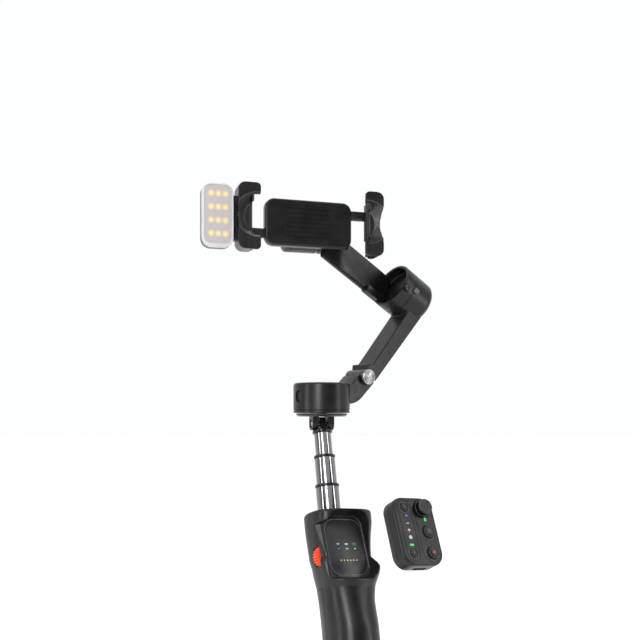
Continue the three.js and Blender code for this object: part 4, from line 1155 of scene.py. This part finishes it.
def clamp_back():
    """The plate behind the phone, with its two rail slots and ribbed front."""
    plate = pillow("clamp_plate", 58, 30, 6, BACK_FRONT, BACK_REAR, 1.2)
    union(plate, disc("rear", HUB_RADIUS, BACK_REAR - 1, HUB_REAR - GAP, "Y", 0.4, 128))
    rooms = []
    for x0, x1, z in ((8, 60, RAIL_HEIGHT), (-60, -8, -RAIL_HEIGHT)):
        rooms.append(block("rail_room", x0, x1, RAIL_FRONT - GAP, RAIL_REAR + GAP, z - 3.3, z + 3.3))
    rooms.append(disc("bore", 4.15, BACK_REAR - 4.3, 30, "Y"))
    rooms.append(moved(disc("spring_room", 2, -30, 30, "X"), 0, SPRING_Y, SPRING_Z))
    cut(plate, *rooms)
    for z in (-9, -6, -3, 0, 3, 6, 9):
        cut(plate, slab("grip_line", 30, 0.8, 0.35, BACK_FRONT - 1, BACK_FRONT + 0.35, 0, z, 4))
    finished(plate, CLAMP, "clamp", SATIN, ["clamp_back"])


def clamp_spring():
    """A closed coil of wire inside the back."""
    turns, per_turn, wire_radius, coil_radius, length = 20, 16, 0.28, 1.28, 47.4
    steps = turns * per_turn
    rings = []
    for i in range(steps + 1):
        angle = 2 * math.pi * i / per_turn
        out = Vector((0, math.cos(angle), math.sin(angle)))
        centre = Vector((length * i / steps - length / 2, 0, 0)) + coil_radius * out
        rings.append([centre + wire_radius * (out * c + Vector((s, 0, 0))) for c, s in around(8)])
    spring = moved(skinned("coil_spring", rings), 0, SPRING_Y, SPRING_Z)
    finished(spring, CLAMP, "clamp", STEEL, ["clamp_spring"], angle=80)


def jaw_outline(inner, outer, waist=0.8):
    """A jaw from the front: tall, its outer corners round and its outer side drawn in at the waist."""
    h = JAW_HALF_HEIGHT
    points = arc_points(inner + 2.6, -h + 2.6, 2.6, 180, 270, 6)
    points += arc_points(outer - 4.6, -h + 4.6, 4.6, -90, 0, 8)
    for i in range(-5, 6):
        points.append((outer - waist * math.cos(i * math.pi / 12) ** 2, i / 6 * (h - 4.6)))
    points += arc_points(outer - 4.6, h - 4.6, 4.6, 0, 90, 8)
    points += arc_points(inner + 2.6, h - 2.6, 2.6, 90, 180, 6)
    return points


def jaw_shell(side, outer):
    """A thick side wall with two horns over the phone, hollowed by the thumb scoop."""
    wall = extrude("jaw_shell", jaw_outline(PHONE_SIDE - 3.7, outer), -2.6, JAW_BACK)
    height = RAIL_HEIGHT * side
    root = slab("root", 9, 24, 3, BACK_FRONT - 1, BACK_REAR, RAIL_ROOT - 0.5, height / 2)
    seat = block("seat", 0, PHONE_SIDE + 1.5, -GAP, BACK_REAR + 1, -40, 40)
    scoop = ellipse_stack("scoop", [
        (-8, 35.9, 1, 21.5, 18), (-2.6, 35.9, 1, 15.5, 14), (1.2, 35.9, 1, 11.6, 11.6), (5.5, 35.9, 1, 7.8, 9.4),
    ])
    shell = melted(cut(union(wall, root), seat, scoop), 0.26, 7, keep=0.6)
    rail = block("rail", RAIL_REACH, RAIL_ROOT, RAIL_FRONT, RAIL_REAR, height - 3, height + 3)
    return union(shell, rounded_edges(rail, 0.3, 2))


def jaw_pad():
    """Ribbed rubber that the phone's side lies against."""
    low, high = -JAW_HALF_HEIGHT + 1, JAW_HALF_HEIGHT - 1
    pad = block("jaw_rubber", PHONE_SIDE, PHONE_SIDE + 1.2, 0.2, BACK_FRONT, low, high)
    ribs = []
    for i in range(-12, 13):
        ribs.append(block("rib", PHONE_SIDE - 1, PHONE_SIDE + 0.35, -1, 12, i * 1.5 - 0.25, i * 1.5 + 0.25))
    return cut(pad, *ribs, moved(disc("thumb", 10.8, -10, 5.9, "Y"), 34.6))


def make_jaws():
    right = jaw_shell(1, JAW_OUTER)
    cut(right, moved(disc("pin_hole", 0.9, 45, 60, "X", segments=32), 0, 4.2, -1))
    right.name = "right_jaw_shell"
    finished(right, CLAMP, "right_jaw", JAW, ["right_jaw"])
    finished(jaw_pad(), CLAMP, "right_jaw", RUBBER, ["right_jaw_pad"])
    left = mirrored(jaw_shell(-1, JAW_OUTER + 2))
    left.name = "left_jaw_shell"
    finished(left, CLAMP, "left_jaw", JAW, ["left_jaw"])
    finished(mirrored(jaw_pad()), CLAMP, "left_jaw", RUBBER, ["left_jaw_pad"])


# ---- fill light

def light_foot():
    """The foot that the light clips on, fixed to the left jaw."""
    foot = block("foot", -LIGHT_INNER + GAP, -JAW_OUTER - 1, 0.6, 6.4, -15.5, 12.5)
    finished(rounded_edges(foot, 0.8, 3), CLAMP, "left_jaw", DARK, ["light_foot"])


def make_light():
    """The light's back, its frosted front frame and the window set in it."""
    front, rear = LIGHT_FRONT, LIGHT_FRONT + LIGHT_DEPTH
    back = pillow("light_back", LIGHT_WIDTH, LIGHT_HEIGHT, 6, front + 1, rear, 1.2)
    cut(back, block("over", -30, 30, front - 5, front + 3.4, -30, 30))
    cut(back, slab("inside", LIGHT_WIDTH - 3, LIGHT_HEIGHT - 3, 5, front - 1, rear - 1.4))
    finished(back, LIGHT, "light", BACKING, ["light_back_shell"])
    cover = pillow("light_frame", LIGHT_WIDTH, LIGHT_HEIGHT, 6, front, front + 6, 0.9)
    cut(cover, block("under", -30, 30, front + 3.1, front + 9, -30, 30))
    cut(cover, slab("inside", LIGHT_WIDTH - 3.4, LIGHT_HEIGHT - 3.4, 5, front + 1.2, rear))
    cut(cover, slab("step", 16.9, 35.9, 4.2, front - 1, front + 0.35, 0, 0.6))
    finished(cover, LIGHT, "light", FROST, ["light_diffuser"])
    window = pillow("light_window", 16.5, 35.5, 4.0, front + 0.1, front + 0.6, 0.15, 0, 0.6)
    finished(window, LIGHT, "light", LAMP)


# ---- what stays from the CAD

def dress_cad():
    """Materials for the CAD nodes whose own shape is kept."""
    kept = {
        BOARD: ["control_board", "remote_board", "light_board"],
        CELL: ["battery_cell", "remote_cell", "light_cell"],
        COPPER: ["pan_stator", "roll_stator", "tilt_stator"],
        STEEL: ["pan_magnet_ring", "roll_magnet_ring", "tilt_magnet_ring", "pan_bearing"],
    }
    for material, names in kept.items():
        for name in names:
            for slot in frame["nodes"][name].material_slots:
                slot.material = material


# ---- camera, lights, floor

def make_camera():
    data = bpy.data.cameras.new("photo_camera")
    data.lens = 50
    data.sensor_width = 36
    data.shift_y = 0.156
    data.clip_start = 0.01
    data.clip_end = 50
    camera = bpy.data.objects.new("photo_camera", data)
    bpy.context.scene.collection.objects.link(camera)
    bearing = math.radians(-17)
    right = Vector((math.cos(bearing), math.sin(bearing), 0))
    back = Vector((math.sin(bearing), -math.cos(bearing), 0))
    up = Vector((0, 0, 1))
    spot = HEAD.to_translation() + (right * 4.2 + up * -130 + back * 566) * MM
    basis = Matrix((right, up, back)).transposed().to_4x4()
    camera.matrix_world = Matrix.Translation(spot) @ basis
    bpy.context.scene.camera = camera


def area_light(name, spot, target, width, height, power):
    data = bpy.data.lights.new(name, "AREA")
    data.shape = "RECTANGLE"
    data.size = width
    data.size_y = height
    data.energy = power
    lamp = bpy.data.objects.new(name, data)
    bpy.context.scene.collection.objects.link(lamp)
    lamp.location = spot
    lamp.rotation_euler = (Vector(target) - Vector(spot)).to_track_quat("-Z", "Y").to_euler()
    return lamp


def studio_world():
    """A white room whose light comes from behind the object, so that dark plastic keeps its depth."""
    world = bpy.data.worlds.new("studio")
    world.use_nodes = True
    tree = world.node_tree
    ends = {0: node(tree, "TexCoord", {}, "Generated"), 1: (0.29, 0.957, 0)}
    facing = node(tree, "VectorMath", ends, "Value", operation="DOT_PRODUCT")
    levels = {"Value": facing, "From Min": -0.7, "From Max": 0.55, "To Min": 0.10, "To Max": 0.97}
    level = node(tree, "MapRange", levels, "Result", interpolation_type="SMOOTHSTEP")
    backdrop = math_node(tree, "MAXIMUM", node(tree, "LightPath", {}, "Is Camera Ray"), level)
    wire(tree, tree.nodes["Background"], {"Color": (0.985, 0.99, 1, 1), "Strength": backdrop})
    bpy.context.scene.world = world


def make_lights():
    middle = (0, 0, 0.16)
    area_light("front_key", (-0.6, -0.92, 0.5), middle, 0.28, 0.9, 11)
    area_light("right_strip", (0.85, -0.55, 0.3), middle, 0.12, 1.1, 4)
    area_light("left_strip", (-1.0, -0.15, 0.25), middle, 0.12, 1.1, 4)
    area_light("top_panel", (0.1, 0.0, 1.25), middle, 0.8, 0.8, 3)
    sun = bpy.data.lights.new("soft_sun", "SUN")
    sun.energy = 1.35
    sun.angle = math.radians(100)
    lamp = bpy.data.objects.new("soft_sun", sun)
    bpy.context.scene.collection.objects.link(lamp)
    lamp.rotation_euler = (math.radians(15), math.radians(-8), 0)
    bpy.context.scene.view_settings.view_transform = "Standard"


def make_floor():
    bm = bmesh.new()
    bmesh.ops.create_circle(bm, cap_ends=True, radius=12, segments=96)
    floor = new_object("floor", bm)
    floor.location.z = CAD_BOX[0][2] - 0.004
    material, tree, shader = new_material("pale_floor")
    wire(tree, shader, {
        "Base Color": mottled(tree, 3, 3, (0.90, 0.90, 0.91), (0.93, 0.93, 0.93)),
        "Roughness": 0.9,
        "Emission Color": (1, 1, 1, 1),
        "Emission Strength": 0.1,
    })
    floor.data.materials.append(material)


make_camera()
make_handle()
make_rod()
make_remote()
pan_base()
pan_housing()
fold_hinge()
roll_arm()
tilt_arm()
roll_lugs()
tilt_bracket()
clamp_back()
clamp_spring()
make_jaws()
light_foot()
make_light()
dress_cad()
studio_world()
make_lights()
make_floor()
